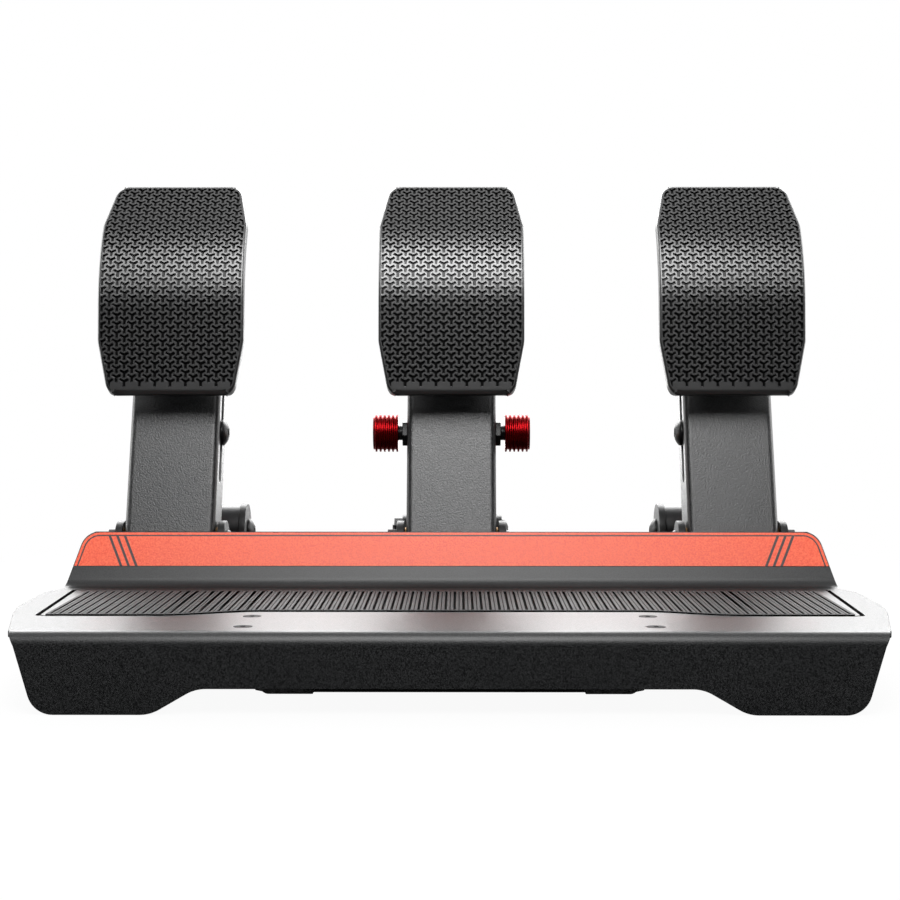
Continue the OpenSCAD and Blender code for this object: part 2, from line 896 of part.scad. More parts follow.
module pad_bracket(x) {
    wall = carrier_t;
    front = beside(pad_path, pad_t);
    inner = beside(pad_path, pad_t + wall);
    color("gray") on_arm(x) difference() {
        intersection() {
            across(2 * carrier_half) behind_line(front, -web_front);
            translate([-carrier_half, pad_knee[0] - 10, carrier_low])
                cube([2 * carrier_half, web_front - pad_knee[0], carrier_top - carrier_low]);
        }
        across(2 * (carrier_half - wall)) behind_line(inner, -web_front - wall);
        for (w = carrier_screws)
            translate([0, -web_front - wall - 1, w]) rotate([-90, 0, 0])
                cylinder(r = small_r, h = wall + 2);
    }
}

module clutch_pad_bracket() {
    pad_bracket(pads_x[0]);
}

module brake_pad_bracket() {
    pad_bracket(pads_x[1]);
}

module throttle_pad_bracket() {
    pad_bracket(pads_x[2]);
}

module pad_screws(x) {
    tail = 1.5;
    color("black") on_arm(x)
        for (w = carrier_screws)
            translate([0, arm_t - web_front, w]) rotate([-90, 0, 0]) {
                difference() {
                    cylinder(r = small_head_r, h = small_head_h);
                    translate([0, 0, small_socket_z]) cylinder(r = small_socket_r, h = small_head_h, $fn = 6);
                }
                translate([0, 0, -arm_t - carrier_t - tail])
                    cylinder(r = small_r, h = arm_t + carrier_t + tail + 0.5);
            }
}

module clutch_pad_screws() {
    pad_screws(pads_x[0]);
}

module brake_pad_screws() {
    pad_screws(pads_x[1]);
}

module throttle_pad_screws() {
    pad_screws(pads_x[2]);
}

module cross_bolt(x) {
    color("black") on_arm(x) translate([0, 0, cross_w]) mirror([x > 0 ? 1 : 0, 0, 0]) {
        translate([arm_half, 0, 0]) button_head();
        pin_x(pin_r, -arm_half, arm_half + 1);
    }
}

module clutch_cross_bolt() {
    cross_bolt(pads_x[0]);
}

module throttle_cross_bolt() {
    cross_bolt(pads_x[2]);
}

module cross_spacers(x) {
    wall = 3;
    color("silver") on_arm(x) translate([0, 0, cross_w])
        for (s = [0, 1]) mirror([s, 0, 0]) difference() {
            pin_x(pin_r + wall, eye_half + run_gap, arm_half - arm_t);
            pin_x(pin_r, eye_half - 1, arm_half);
        }
}

module clutch_cross_spacers() {
    cross_spacers(pads_x[0]);
}

module brake_cross_spacers() {
    cross_spacers(pads_x[1]);
}

module throttle_cross_spacers() {
    cross_spacers(pads_x[2]);
}

module brake_cross_stud() {
    color("black") on_arm(pads_x[1]) translate([0, 0, cross_w]) pin_x(pin_r, -stud_end, stud_end);
}

module brake_stud_nuts() {
    color("black") on_arm(pads_x[1]) translate([0, 0, cross_w])
        for (s = [0, 1]) mirror([s, 0, 0]) translate([arm_half, 0, 0]) rotate([0, 90, 0]) difference() {
            cylinder(r = nut_r, h = stud_nut_h, $fn = 6);
            translate([0, 0, -1]) cylinder(r = pin_r, h = stud_nut_h + 2);
        }
}

// turned rings of a knob: radius and height along its axis
function knob_side() =
    let (
        pitch = knob_len / knob_rings,
        land = pitch * 0.62,
        inner = knob_r - 1.3,
        slope = 0.3
    )
    [
        for (i = [0 : knob_rings - 1])
            each [
                [inner, i * pitch],
                [knob_r, i * pitch + slope],
                [knob_r, i * pitch + land - slope],
                [inner, i * pitch + land],
                [inner, i * pitch + pitch - part_eps]
            ]
    ];

module knob(s) {
    bore = stud_end - knob_in + 0.4;
    color("firebrick") on_arm(pads_x[1]) translate([0, 0, cross_w]) mirror([s, 0, 0])
        translate([knob_in, 0, 0]) rotate([0, 90, 0]) difference() {
            rotate_extrude() polygon(concat([[0, 0]], knob_side(), [[0, knob_len]]));
            translate([0, 0, -1]) cylinder(r = pin_r + pin_fit, h = bore + 1);
        }
}

module brake_knob_left() {
    knob(1);
}

module brake_knob_right() {
    knob(0);
}

module magnet(x) {
    wall = 3;
    thick = 4;
    color("silver") on_arm(x) difference() {
        pin_x(bush_r + wall, arm_half - arm_t - thick, arm_half - arm_t);
        pin_x(bush_r, arm_half - arm_t - thick - 1, arm_half);
    }
}

module clutch_magnet() {
    magnet(pads_x[0]);
}

module throttle_magnet() {
    magnet(pads_x[2]);
}

// angle sensor under the magnet ring, with the socket for its lead
module hall_sensor(x) {
    below = 4.5;
    top = pivot_z - bush_r - below;
    right = arm_half - arm_t - 1;
    wide = 12;
    long = 20;
    foot_long = 26;
    foot_t = 3;
    socket = [8, 10, 5];
    socket_d = 6.5;
    color([0.1, 0.1, 0.11]) stand() translate([x, pivot_d, 0]) difference() {
        union() {
            translate([right - wide, -long / 2, floor_z]) cube([wide, long, top - floor_z]);
            translate([right - wide, -foot_long / 2, floor_z]) cube([wide, foot_long, foot_t]);
        }
        translate([right - (wide + socket[0]) / 2, socket_d, floor_z + 2 * foot_t]) cube(socket);
    }
}

module clutch_sensor() {
    hall_sensor(pads_x[0]);
}

module throttle_sensor() {
    hall_sensor(pads_x[2]);
}

// struts

module strut_rod(x) {
    color("silver") on_strut(x) difference() {
        union() {
            translate([0, 0, rod_low]) cylinder(r = rod_r, h = strut_len - rod_low);
            translate([0, 0, seat_low]) cylinder(r = seat_r, h = seat_t);
            translate([0, 0, strut_len]) pin_x(eye_r, -eye_half, eye_half);
        }
        translate([0, 0, strut_len]) pin_x(pin_r + eye_play, -eye_half - 1, eye_half + 1);
    }
}

module clutch_strut_rod() {
    strut_rod(pads_x[0]);
}

module brake_strut_rod() {
    strut_rod(pads_x[1]);
}

module throttle_strut_rod() {
    strut_rod(pads_x[2]);
}

module strut_tube(x, end_r) {
    color([0.25, 0.25, 0.26]) on_strut(x) difference() {
        union() {
            pin_x(end_r, run_gap - cheek_in, cheek_in - run_gap);
            cylinder(r = tube_r, h = tube_top);
        }
        translate([0, 0, bore_low]) cylinder(r = rod_r + pin_fit, h = tube_top);
        pin_x(pin_r + pin_fit, -cheek_in, cheek_in);
    }
}

module clutch_strut_tube() {
    strut_tube(pads_x[0], side_barrel_r);
}

module brake_strut_tube() {
    strut_tube(pads_x[1], barrel_r);
}

module throttle_strut_tube() {
    strut_tube(pads_x[2], side_barrel_r);
}

module preload_nut(x) {
    notch_r = 2.5;
    notch_turn = 60;
    color("firebrick") on_strut(x) translate([0, 0, nut_low]) difference() {
        cylinder(r = seat_r, h = nut_top - nut_low);
        translate([0, 0, -1]) cylinder(r = tube_r, h = nut_top - nut_low + 2);
        for (a = [0 : notch_turn : 360 - notch_turn])
            rotate(a) translate([seat_r + 1, 0, -1]) cylinder(r = notch_r, h = nut_top - nut_low + 2);
    }
}

module clutch_preload_nut() {
    preload_nut(pads_x[0]);
}

module brake_preload_nut() {
    preload_nut(pads_x[1]);
}

module throttle_preload_nut() {
    preload_nut(pads_x[2]);
}

// height of the wire's middle after a share of the turns, with close end turns
end_gap = 0.6;
close_pitch = 2 * wire_r + end_gap;
coil_high = seat_low - nut_top - 2 * wire_r;
open_pitch = (coil_high - 2 * close_pitch) / (coil_turns - 2);
function coil_z(n) =
    n < 1 ? n * close_pitch
    : n < coil_turns - 1 ? close_pitch + (n - 1) * open_pitch
    : coil_high - (coil_turns - n) * close_pitch;

// least gap from the wire to its own later turns, measured on points along its middle
function coil_point(n) = [coil_r * cos(360 * n), coil_r * sin(360 * n), coil_z(n)];
coil_mark = 1 / 24;
coil_gap = min([
    for (n = [0 : coil_mark : coil_turns - 0.5])
        for (m = [n + 0.5 : coil_mark : coil_turns]) norm(coil_point(n) - coil_point(m))
]) - 2 * wire_r;
echo(spring_least_gap_mm = coil_gap);

module spring(x) {
    per_turn = 8;
    sides = 6;
    rings = ceil(coil_turns * per_turn);
    points = [
        for (i = [0 : rings])
            let (n = i * coil_turns / rings, a = 360 * n)
            for (j = [0 : sides - 1])
                let (b = 90 + 360 * j / sides, r = coil_r + wire_r * cos(b))
                [r * cos(a), r * sin(a), nut_top + wire_r + coil_z(n) + wire_r * sin(b)]
    ];
    skin = [
        for (i = [0 : rings - 1])
            for (j = [0 : sides - 1])
                let (k = (j + 1) % sides)
                each [
                    [i * sides + j, i * sides + k, (i + 1) * sides + k],
                    [i * sides + j, (i + 1) * sides + k, (i + 1) * sides + j]
                ]
    ];
    ends = [
        [for (j = [sides - 1 : -1 : 0]) j],
        [for (j = [0 : sides - 1]) rings * sides + j]
    ];
    color("silver") on_strut(x) polyhedron(points = points, faces = concat(skin, ends));
}

module clutch_spring() {
    spring(pads_x[0]);
}

module throttle_spring() {
    spring(pads_x[2]);
}

// one moulded rubber spring with three bulges round the brake's tube and rod
module brake_elastomer() {
    bulges = 3;
    high = seat_low - nut_top - soft_gap;
    step = high / bulges;
    bulge = seat_r - 1;
    waist = seat_r - 3.5;
    slope = 2.5;
    bulge_r = 2;
    bore = tube_r + 0.5;
    side = [
        for (i = [0 : bulges - 1])
            each [
                [waist, i * step, 0],
                [bulge, i * step + slope, bulge_r],
                [bulge, (i + 1) * step - slope, bulge_r],
                [waist, (i + 1) * step - part_eps, 0]
            ]
    ];
    color([0.75, 0.6, 0.1]) on_strut(pads_x[1]) translate([0, 0, nut_top])
        rotate_extrude() polygon(rounded(concat(
            [[bore, 0, 0]], side, [[waist, high, 0], [bore, high, 0]]
        )));
}

// ring load cell under the brake's preload nut
module brake_load_cell() {
    high = nut_low - cell_low;
    socket = [6, 4, 6];
    socket_z = 4;
    groove_down = 4;
    groove_h = 1.2;
    groove_in = 2;
    color("lightgray") on_strut(pads_x[1]) translate([0, 0, cell_low]) difference() {
        cylinder(r = seat_r, h = high);
        translate([0, 0, -1]) cylinder(r = tube_r, h = high + 2);
        translate([0, -seat_r - 1, socket_z]) cube(socket, center = true);
        translate([0, 0, high - groove_down]) difference() {
            cylinder(r = seat_r + 1, h = groove_h);
            translate([0, 0, -1]) cylinder(r = seat_r - groove_in, h = groove_h + 2);
        }
    }
}

// control box

box_low = plate_top;
box_d = (mount_front + mount_rear) / 2;

// sealed round its board, with shallow sockets for the leads
module control_box() {
    sunk = 3;
    socket_wide = 10;
    lead_z = 8;
    lead_high = 4;
    socket_z = 6;
    socket_high = 8;
    color([0.1, 0.1, 0.11]) stand() translate([mount_x, box_d, box_low]) difference() {
        translate([-box_wide / 2, -box_len / 2, 0]) cube([box_wide, box_len, box_high]);
        translate([-socket_wide / 2, box_len / 2 - sunk, lead_z]) cube([socket_wide, sunk + 1, lead_high]);
        for (x = [-socket_pitch, 0, socket_pitch])
            translate([x - socket_wide / 2, -box_len / 2 - 1, socket_z])
                cube([socket_wide, sunk + 1, socket_high]);
    }
}

module control_lid() {
    color([0.14, 0.14, 0.15]) stand() translate([mount_x, box_d, box_low + box_high])
        translate([-box_wide / 2, -box_len / 2, 0]) cube([box_wide, box_len, lid_t]);
}

heel_plate();
heel_mat();
riser_decal();
base_plate();
deck_rail_left();
deck_rail_right();
deck_screws();
rail_screws();
rubber_feet();
bracket_bolts();
hinge_bolts();
hinge_nuts();
clutch_bracket();
brake_bracket();
throttle_bracket();
clutch_sensor();
throttle_sensor();
control_box();
control_lid();
clutch_arm();
brake_arm();
throttle_arm();
clutch_pivot_bushes();
brake_pivot_bushes();
throttle_pivot_bushes();
clutch_pad();
brake_pad();
throttle_pad();
clutch_pad_bracket();
brake_pad_bracket();
throttle_pad_bracket();
clutch_pad_screws();
brake_pad_screws();
throttle_pad_screws();
clutch_cross_bolt();
throttle_cross_bolt();
brake_cross_stud();
brake_stud_nuts();
clutch_cross_spacers();
brake_cross_spacers();
throttle_cross_spacers();
clutch_magnet();
throttle_magnet();
brake_knob_left();
brake_knob_right();
clutch_strut_rod();
brake_strut_rod();
throttle_strut_rod();
clutch_strut_tube();
brake_strut_tube();
throttle_strut_tube();
clutch_preload_nut();
brake_preload_nut();
throttle_preload_nut();
clutch_spring();
throttle_spring();
brake_elastomer();
brake_load_cell();
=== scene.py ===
# %% [markdown]
# # A sim racing pedal set
# Three pedals stand on a base plate behind a folded steel heel plate. Their solids carry the sizes
# and the joints, so this lesson adds what the eye wants: rounded sheet edges, a cut tread, a ribbed
# mat, printed film, wound springs and a finish for every surface. Loading the solids comes first,
# because every later piece takes its place from them.

# %% Load the frame
import json
import math
from collections import namedtuple

import bpy
from mathutils import Matrix, Vector


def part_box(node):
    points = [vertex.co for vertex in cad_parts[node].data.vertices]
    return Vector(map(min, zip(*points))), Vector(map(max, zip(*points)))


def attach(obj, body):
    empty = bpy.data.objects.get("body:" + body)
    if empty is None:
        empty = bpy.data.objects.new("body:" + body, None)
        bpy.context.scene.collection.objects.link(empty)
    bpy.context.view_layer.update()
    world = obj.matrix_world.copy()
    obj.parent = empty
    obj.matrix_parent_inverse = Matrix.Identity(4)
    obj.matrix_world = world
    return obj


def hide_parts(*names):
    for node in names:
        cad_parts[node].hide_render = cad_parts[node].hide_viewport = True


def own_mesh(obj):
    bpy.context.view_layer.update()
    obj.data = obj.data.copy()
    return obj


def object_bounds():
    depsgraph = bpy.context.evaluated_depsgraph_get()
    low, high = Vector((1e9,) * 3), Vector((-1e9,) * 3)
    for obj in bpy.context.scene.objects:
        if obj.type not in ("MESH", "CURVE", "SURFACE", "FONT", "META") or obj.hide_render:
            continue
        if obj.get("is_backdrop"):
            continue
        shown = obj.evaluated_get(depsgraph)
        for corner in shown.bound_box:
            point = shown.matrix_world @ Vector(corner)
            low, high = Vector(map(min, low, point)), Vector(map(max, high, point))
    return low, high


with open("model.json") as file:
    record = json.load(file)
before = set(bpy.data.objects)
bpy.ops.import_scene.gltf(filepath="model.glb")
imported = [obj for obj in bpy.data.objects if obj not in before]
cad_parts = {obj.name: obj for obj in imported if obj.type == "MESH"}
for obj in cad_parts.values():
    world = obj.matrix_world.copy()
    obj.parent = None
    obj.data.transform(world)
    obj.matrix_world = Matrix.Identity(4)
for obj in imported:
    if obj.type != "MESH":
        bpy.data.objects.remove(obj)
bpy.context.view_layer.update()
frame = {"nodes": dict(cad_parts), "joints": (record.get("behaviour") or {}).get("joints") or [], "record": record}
nodes = frame["nodes"]
joints = {joint["name"]: joint for joint in frame["joints"]}
body_of = {
    node: body
    for body, members in frame["record"]["behaviour"]["bodies"].items()
    for node in members
}
MM = 0.001
PEDALS = ("clutch", "brake", "throttle")
SPRUNG = ("clutch", "throttle")

# %% [markdown]
# ## Working by hand, in code
# An operator acts on whatever is selected, so each step first selects one object, and then picks
# faces or edges by where they lie or which way they look. These few helpers do that. A modifier is
# applied at once, so that the mesh on the shelf is the mesh in the picture.

# %% Selecting and applying
# points closer than this are one point
MERGE = 0.002 * MM
# up to the first angle faces count as one flat, from the second an edge is rounded, and up to the
# third the shading runs smoothly over it
FLAT = math.radians(0.3)
SHARP = math.radians(28)
SMOOTH = math.radians(34)
# a face looks some way if its normal has more than this share of that direction
FACING = 0.5
# rays towards the back start at this Y, well in front of the object, in metres
RAY_START = -1
TO_BACK = Vector((0, 1, 0))
TO_FRONT = -TO_BACK
SIDE_X = Vector((1, 0, 0))


def only(piece):
    bpy.ops.object.select_all(action="DESELECT")
    piece.select_set(True)
    bpy.context.view_layer.objects.active = piece


def edit(piece):
    only(piece)
    bpy.ops.object.mode_set(mode="EDIT")
    bpy.ops.mesh.select_all(action="SELECT")


def leave():
    bpy.ops.object.mode_set(mode="OBJECT")


def pick(piece, kind, test):
    """Selects the vertices, edges or polygons of the mesh in hand that pass a test."""
    bpy.ops.mesh.select_mode(type={"vertices": "VERT", "edges": "EDGE", "polygons": "FACE"}[kind])
    bpy.ops.mesh.select_all(action="DESELECT")
    leave()
    for item in getattr(piece.data, kind):
        item.select = test(item)
    bpy.ops.object.mode_set(mode="EDIT")


def modify(piece, kind, **settings):
    only(piece)
    step = piece.modifiers.new(kind, kind)
    for name, value in settings.items():
        setattr(step, name, value)
    bpy.ops.object.modifier_apply(modifier=step.name)


def combine(piece, tool, operation):
    modify(
        piece, "BOOLEAN", object=tool, operation=operation, solver="MANIFOLD",
        material_mode="TRANSFER",
    )
    bpy.data.objects.remove(tool)


def copy_of(piece, name):
    twin = bpy.data.objects.new(name, piece.data.copy())
    bpy.context.collection.objects.link(twin)
    return twin


def settle(piece):
    only(piece)
    bpy.ops.object.transform_apply(location=True, rotation=True, scale=True)


def merged(node, name):
    """A copy of a solid's loose triangles, joined up and with its flat faces made whole."""
    piece = copy_of(nodes[node], name)
    edit(piece)
    bpy.ops.mesh.customdata_custom_splitnormals_clear()
    bpy.ops.mesh.remove_doubles(threshold=MERGE)
    bpy.ops.mesh.dissolve_limited(angle_limit=FLAT)
    leave()
    return piece


def reach(node, start, along):
    """How far a solid's nearest and farthest points lie from a start along a direction."""
    spans = [(vertex.co - start).dot(along) for vertex in nodes[node].data.vertices]
    return min(spans), max(spans)


print("helpers ready")

# %% [markdown]
# ## Colour and grain
# Colours are written as sRGB hex values, the way a paint card gives them, and turned to the linear
# values that a shader wants. Almost every surface here has a fine grain, so one recipe builds it:
# a noise in Object coordinates, sized in millimetres, tints the colour, shifts the roughness and
# lifts the surface a little. Each finish below gives the recipe its own numbers.

# %% Colours and nodes
# where a colour Mix node keeps its two colours and its result
MIX_A, MIX_B, MIX_RESULT = 6, 7, 2
# a noise seldom leaves this range, so the range is spread to run from 0 to 1
GRAIN_LOW = 0.35
GRAIN_HIGH = 0.65
GRAIN_DETAIL = 3.0


def linear(hex_colour):
    """The linear values of an sRGB hex colour, by the curve of the sRGB standard."""
    parts = [int(hex_colour[i:i + 2], 16) / 255 for i in (1, 3, 5)]
    return [c / 12.92 if c <= 0.04045 else ((c + 0.055) / 1.055) ** 2.4 for c in parts] + [1.0]


def add(tree, kind, settings, sockets):
    """A new node with its settings, and for each named socket a constant or a link."""
    node = tree.nodes.new(kind)
    for name, value in settings.items():
        setattr(node, name, value)
    for name, value in sockets.items():
        if isinstance(value, bpy.types.NodeSocket):
            tree.links.new(value, node.inputs[name])
        else:
            node.inputs[name].default_value = value
    return node


def grained(name, dark, light, grain_mm, relief_mm, rough, **shader):
    """A finish whose grain runs from one colour and roughness to another."""
    material = bpy.data.materials.new(name)
    material.use_nodes = True
    tree = material.node_tree
    surface = tree.nodes["Principled BSDF"]
    for socket, value in shader.items():
        surface.inputs[socket.replace("_", " ")].default_value = value
    place = add(tree, "ShaderNodeTexCoord", {}, {})
    grain = add(
        tree, "ShaderNodeTexNoise", {},
        {"Vector": place.outputs["Object"], "Scale": 1 / (grain_mm * MM), "Detail": GRAIN_DETAIL},
    )
    spread = add(
        tree, "ShaderNodeMapRange", {},
        {"Value": grain.outputs["Fac"], "From Min": GRAIN_LOW, "From Max": GRAIN_HIGH},
    )
    tint = add(
        tree, "ShaderNodeMix", {"data_type": "RGBA"},
        {"Factor": spread.outputs["Result"], MIX_A: linear(dark), MIX_B: linear(light)},
    )
    gloss = add(
        tree, "ShaderNodeMapRange", {},
        {"Value": spread.outputs["Result"], "To Min": rough[0], "To Max": rough[1]},
    )
    lift = add(
        tree, "ShaderNodeBump", {},
        {"Height": grain.outputs["Fac"], "Distance": relief_mm * MM},
    )
    tree.links.new(tint.outputs[MIX_RESULT], surface.inputs["Base Color"])
    tree.links.new(gloss.outputs["Result"], surface.inputs["Roughness"])
    tree.links.new(lift.outputs["Normal"], surface.inputs["Normal"])
    return material


print("recipe ready")

# %% [markdown]
# ## The finishes
# Sheet steel gets a dark powder coat, baked to a fine orange-peel texture. Pads are moulded in a
# black polymer, the mat and feet are rubber, the fasteners are black oxide or black zinc, and the
# moving metal behind the pads is ground, drawn or anodised. Metals keep the default IOR. Each call
# gives two colours, the grain's width and depth in millimetres, and its two roughness values.

# %% Make the finishes
# powder coat on steel: a dark gray skin with a fine peel that breaks up every highlight, drawn a
# little coarser than real so that it shows
powder = grained(
    "powder_coat_gray", "#0b0c0d", "#2a2b2c", 0.8, 0.16, (0.34, 0.44), IOR=1.75,
)
# the heel plate's coat: the same gray with a finer peel and a little less shine
satin_powder = grained(
    "powder_coat_satin", "#08090a", "#262728", 0.6, 0.055, (0.36, 0.44), IOR=1.55,
)
# the same paint in black, for what stays under and behind
black_powder = grained(
    "powder_coat_black", "#08090a", "#131415", 0.9, 0.06, (0.4, 0.5), IOR=1.45,
)
# moulded polymer: the fine spark-eroded grain of the mould leaves a soft sheen
pad_polymer = grained(
    "moulded_polymer_black", "#060708", "#0e0f10", 0.35, 0.008, (0.34, 0.42), IOR=2.4,
)
# the same polymer in the pits, smoother where the mould's pins were polished; its nearly black colour
# and low IOR are painted shade in the recesses, with rare glints
pit_painted_shade = grained(
    "moulded_polymer_polished", "#020202", "#040404", 0.35, 0.002, (0.27, 0.31), IOR=1.45,
)
# mat rubber: a matte gray-black, the rubber's own colour, on the ribs and the rest of the mat
mat_rubber = grained(
    "extruded_rubber_black", "#28292a", "#363738", 0.9, 0.05, (0.6, 0.72), IOR=1.4,
)
# the grooves and hairlines painted nearly black and matte: painted shade in the recesses
groove_painted_shade = grained(
    "extruded_rubber_raw", "#030303", "#060606", 0.8, 0.02, (0.9, 1.0), IOR=1.2,
)
# the same rubber on the mat's plain border, smooth from the die: it mirrors at a low angle
smooth_rubber = grained(
    "extruded_rubber_smooth", "#0f1011", "#1a1b1c", 0.9, 0.02, (0.34, 0.42), IOR=1.55,
)
# foot rubber: matte, with almost no shine
foot_rubber = grained(
    "moulded_rubber_matte", "#101011", "#1b1b1c", 0.6, 0.03, (0.75, 0.9), IOR=1.52,
)
# printed vinyl film: orange ink under a satin laminate that still shows the coat's peel below
orange_film = grained(
    "vinyl_film_orange", "#ee4923", "#ff6a40", 0.9, 0.1, (0.36, 0.46), IOR=1.52,
)
# the film's dark ink, with the same laminate over it
dark_ink = grained(
    "vinyl_film_dark", "#3a2a2b", "#46383a", 0.75, 0.012, (0.38, 0.48), IOR=1.48,
)
# black passivated zinc on steel screws, rough; its near-black colour is partly the zinc's own and
# partly painted shade of the sunk heads, and the low IOR that takes away their reflection is painted
# shade too
black_zinc_and_shade = grained(
    "zinc_plated_black", "#060607", "#0e0e10", 0.8, 0.004, (0.55, 0.65), IOR=1.2,
)
# black oxide on steel fasteners: oily and dark, with a low shine
black_oxide = grained(
    "black_oxide_steel", "#070708", "#0d0d0e", 0.5, 0.006, (0.3, 0.42), IOR=1.45,
)
# sintered bronze: a dull porous yellow-brown metal
bronze = grained(
    "sintered_bronze", "#8a6636", "#a98149", 0.3, 0.008, (0.35, 0.5), Metallic=1.0,
)
# ground steel of rods and spacers: bright, with a fine even haze
ground_steel = grained(
    "ground_steel", "#8d8f92", "#a1a3a5", 0.25, 0.002, (0.24, 0.34), Metallic=1.0,
)
# black anodised aluminium, bead blasted first: the dyed skin hides the metal and shines softly
dark_anodised = grained(
    "anodised_aluminium_black", "#0c0c0d", "#141416", 0.3, 0.004, (0.36, 0.46), IOR=1.5,
)
# drawn spring wire with a clear zinc coat
spring_wire = grained(
    "drawn_spring_wire", "#7c7e81", "#939598", 0.6, 0.004, (0.28, 0.38), Metallic=1.0,
)
# red anodised aluminium, turned on a lathe: a deep colour with hard white glints
red_anodised = grained(
    "anodised_aluminium_red", "#8e0d12", "#a5161c", 0.4, 0.003, (0.3, 0.4), Metallic=1.0,
)
# cast polyurethane: amber, waxy, a little translucent in the real one
polyurethane = grained(
    "cast_polyurethane_amber", "#b9801f", "#c68d2c", 1.2, 0.01, (0.38, 0.5), IOR=1.5,
)
# hard anodised aluminium of the load cell, a plain middle gray
cell_alloy = grained(
    "anodised_aluminium_gray", "#6c6e70", "#7a7c7e", 0.3, 0.003, (0.42, 0.52), Metallic=1.0,
)
# a matte black for the pocket under the mat that gives back no light: painted shade in the gap around it
pocket_painted_shade = grained(
    "foam_tape_black", "#050505", "#080808", 0.8, 0.05, (0.9, 1.0), IOR=1.2,
)
# glass-filled nylon housings: matte black with a faint mould texture
nylon = grained(
    "glass_filled_nylon_black", "#141415", "#202021", 0.5, 0.012, (0.5, 0.62), IOR=1.53,
)
print(len(bpy.data.materials), "materials")

# %% [markdown]
# ## Rounding the sheet metal and the small hardware
# A laser-cut and folded sheet never has a razor edge: deburring and paint round it by about half a
# millimetre, and that narrow band is where the light runs. The outlines are already right, so each
# rigid solid is copied, merged and given a bevel on its sharp edges. Modelling them afresh would
# only risk the fit.

# %% Paint and mount a piece


def paint(piece, finish):
    piece.data.materials.clear()
    piece.data.materials.append(finish)


def mount(piece, node):
    """Lets a piece stand for a solid, on that solid's body."""
    only(piece)
    bpy.ops.object.shade_smooth_by_angle(angle=SMOOTH)
    modify(piece, "WEIGHTED_NORMAL", keep_sharp=True)
    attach(piece, body_of[node])
    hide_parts(node)


def round_edges(piece, width_mm, segments):
    modify(
        piece, "BEVEL", width=width_mm * MM, segments=segments, limit_method="ANGLE",
        angle_limit=SHARP, use_clamp_overlap=False,
    )


def softened(node, name, width_mm, segments):
    piece = merged(node, name)
    round_edges(piece, width_mm, segments)
    return piece


# finish, slot, edge radius in millimetres, and the solids that share them
RIGID = (
    (powder, "powder_steel", 0.5, [f"{p}_arm" for p in PEDALS]),
    (black_powder, "powder_steel", 0.5, [f"{p}_bracket" for p in PEDALS]),
    (powder, "powder_steel", 0.4, ["deck_rail_left", "deck_rail_right"]),
    (black_powder, "base_steel", 0.5, ["base_plate"] + [f"{p}_pad_bracket" for p in PEDALS]),
    (black_zinc_and_shade, "zinc_screws", 0.15, ["deck_screws"]),
    (black_oxide, "black_fasteners", 0.25, ["rail_screws", "bracket_bolts", "hinge_bolts"]),
    (black_oxide, "black_fasteners", 0.3, ["hinge_nuts", "brake_stud_nuts", "brake_cross_stud"]),
    (black_oxide, "black_fasteners", 0.25, ["clutch_cross_bolt", "throttle_cross_bolt"]),
    (black_oxide, "black_fasteners", 0.25, [f"{p}_pad_screws" for p in PEDALS]),
    (bronze, "bronze", 0.15, [f"{p}_pivot_bushes" for p in PEDALS]),
    (ground_steel, "bright_steel", 0.3, [f"{p}_strut_rod" for p in PEDALS]),
    (ground_steel, "bright_steel", 0.2, [f"{p}_cross_spacers" for p in PEDALS]),
    (ground_steel, "bright_steel", 0.2, ["clutch_magnet", "throttle_magnet"]),
    (dark_anodised, "dark_alloy", 0.35, [f"{p}_strut_tube" for p in PEDALS]),
    (red_anodised, "red_alloy", 0.35, [f"{p}_preload_nut" for p in PEDALS]),
    (red_anodised, "red_alloy", 0.12, ["brake_knob_left", "brake_knob_right"]),
    (cell_alloy, "cell_alloy", 0.3, ["brake_load_cell"]),
    (nylon, "black_plastic", 0.6, ["clutch_sensor", "throttle_sensor", "control_lid"]),
    (nylon, "black_plastic", 0.8, ["control_box"]),
    (foot_rubber, "foot_rubber", 0.8, ["rubber_feet"]),
)
EDGE_STEPS = 2
for finish, slot, edge, members in RIGID:
    for node in members:
        rigid = softened(node, node + "_finished", edge, EDGE_STEPS)
        paint(rigid, finish)
        mount(rigid, node)
        print(rigid.name, len(rigid.data.polygons), "faces")

# %% [markdown]
# ## The ribbed mat
# The heel rests on an extruded rubber mat: flat ribs run front to back between deep grooves, and
# each rib has a hairline down its middle. Along its back and ends a plain border lies as low as the
# deck. The solid has the ribs, so a copy of it is sliced across, and moving the slices' ends draws
# the front edge as one smooth step. One thin bar, repeated by an array, cuts all the hairlines.

# %% Draw the mat's edges
RIB_PITCH = 4.15 * MM
# how far the middle of the front edge lies behind its sides, and where the edge steps forward
STEP_BACK = 14.5 * MM
STEP_FROM = 86 * MM
STEP_TO = 132 * MM
# the slices reach past the step on both sides
SLICE_FROM = 80 * MM
SLICE_TO = 142 * MM
SLICE_WIDE = RIB_PITCH / 2
# the grooves end between these distances from the back edge, and are pulled in by the border's
# width, apart from the back corners
GROOVE_NEAR = 1 * MM
GROOVE_FAR = 2.5 * MM
CORNER = 5 * MM
BORDER = 13 * MM
# the edge is felt for at this height above the mat's underside
FEEL_UP = 0.5 * MM
mat_low, mat_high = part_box("heel_mat")
mat = merged("heel_mat", "heel_mat_ribbed")


def solid_front(x):
    """Where the front edge of the mat's solid lies at a distance across."""
    start = (x, RAY_START, mat_low.z + FEEL_UP)
    return nodes["heel_mat"].ray_cast(start, TO_BACK)[1].y


def drawn_front(x):
    """Where the front edge is drawn: back in the middle, with one smooth step to the sides."""
    share = min(max((abs(x) - STEP_FROM) / (STEP_TO - STEP_FROM), 0), 1)
    return mat_low.y + STEP_BACK * (1 - share * share * (3 - 2 * share))


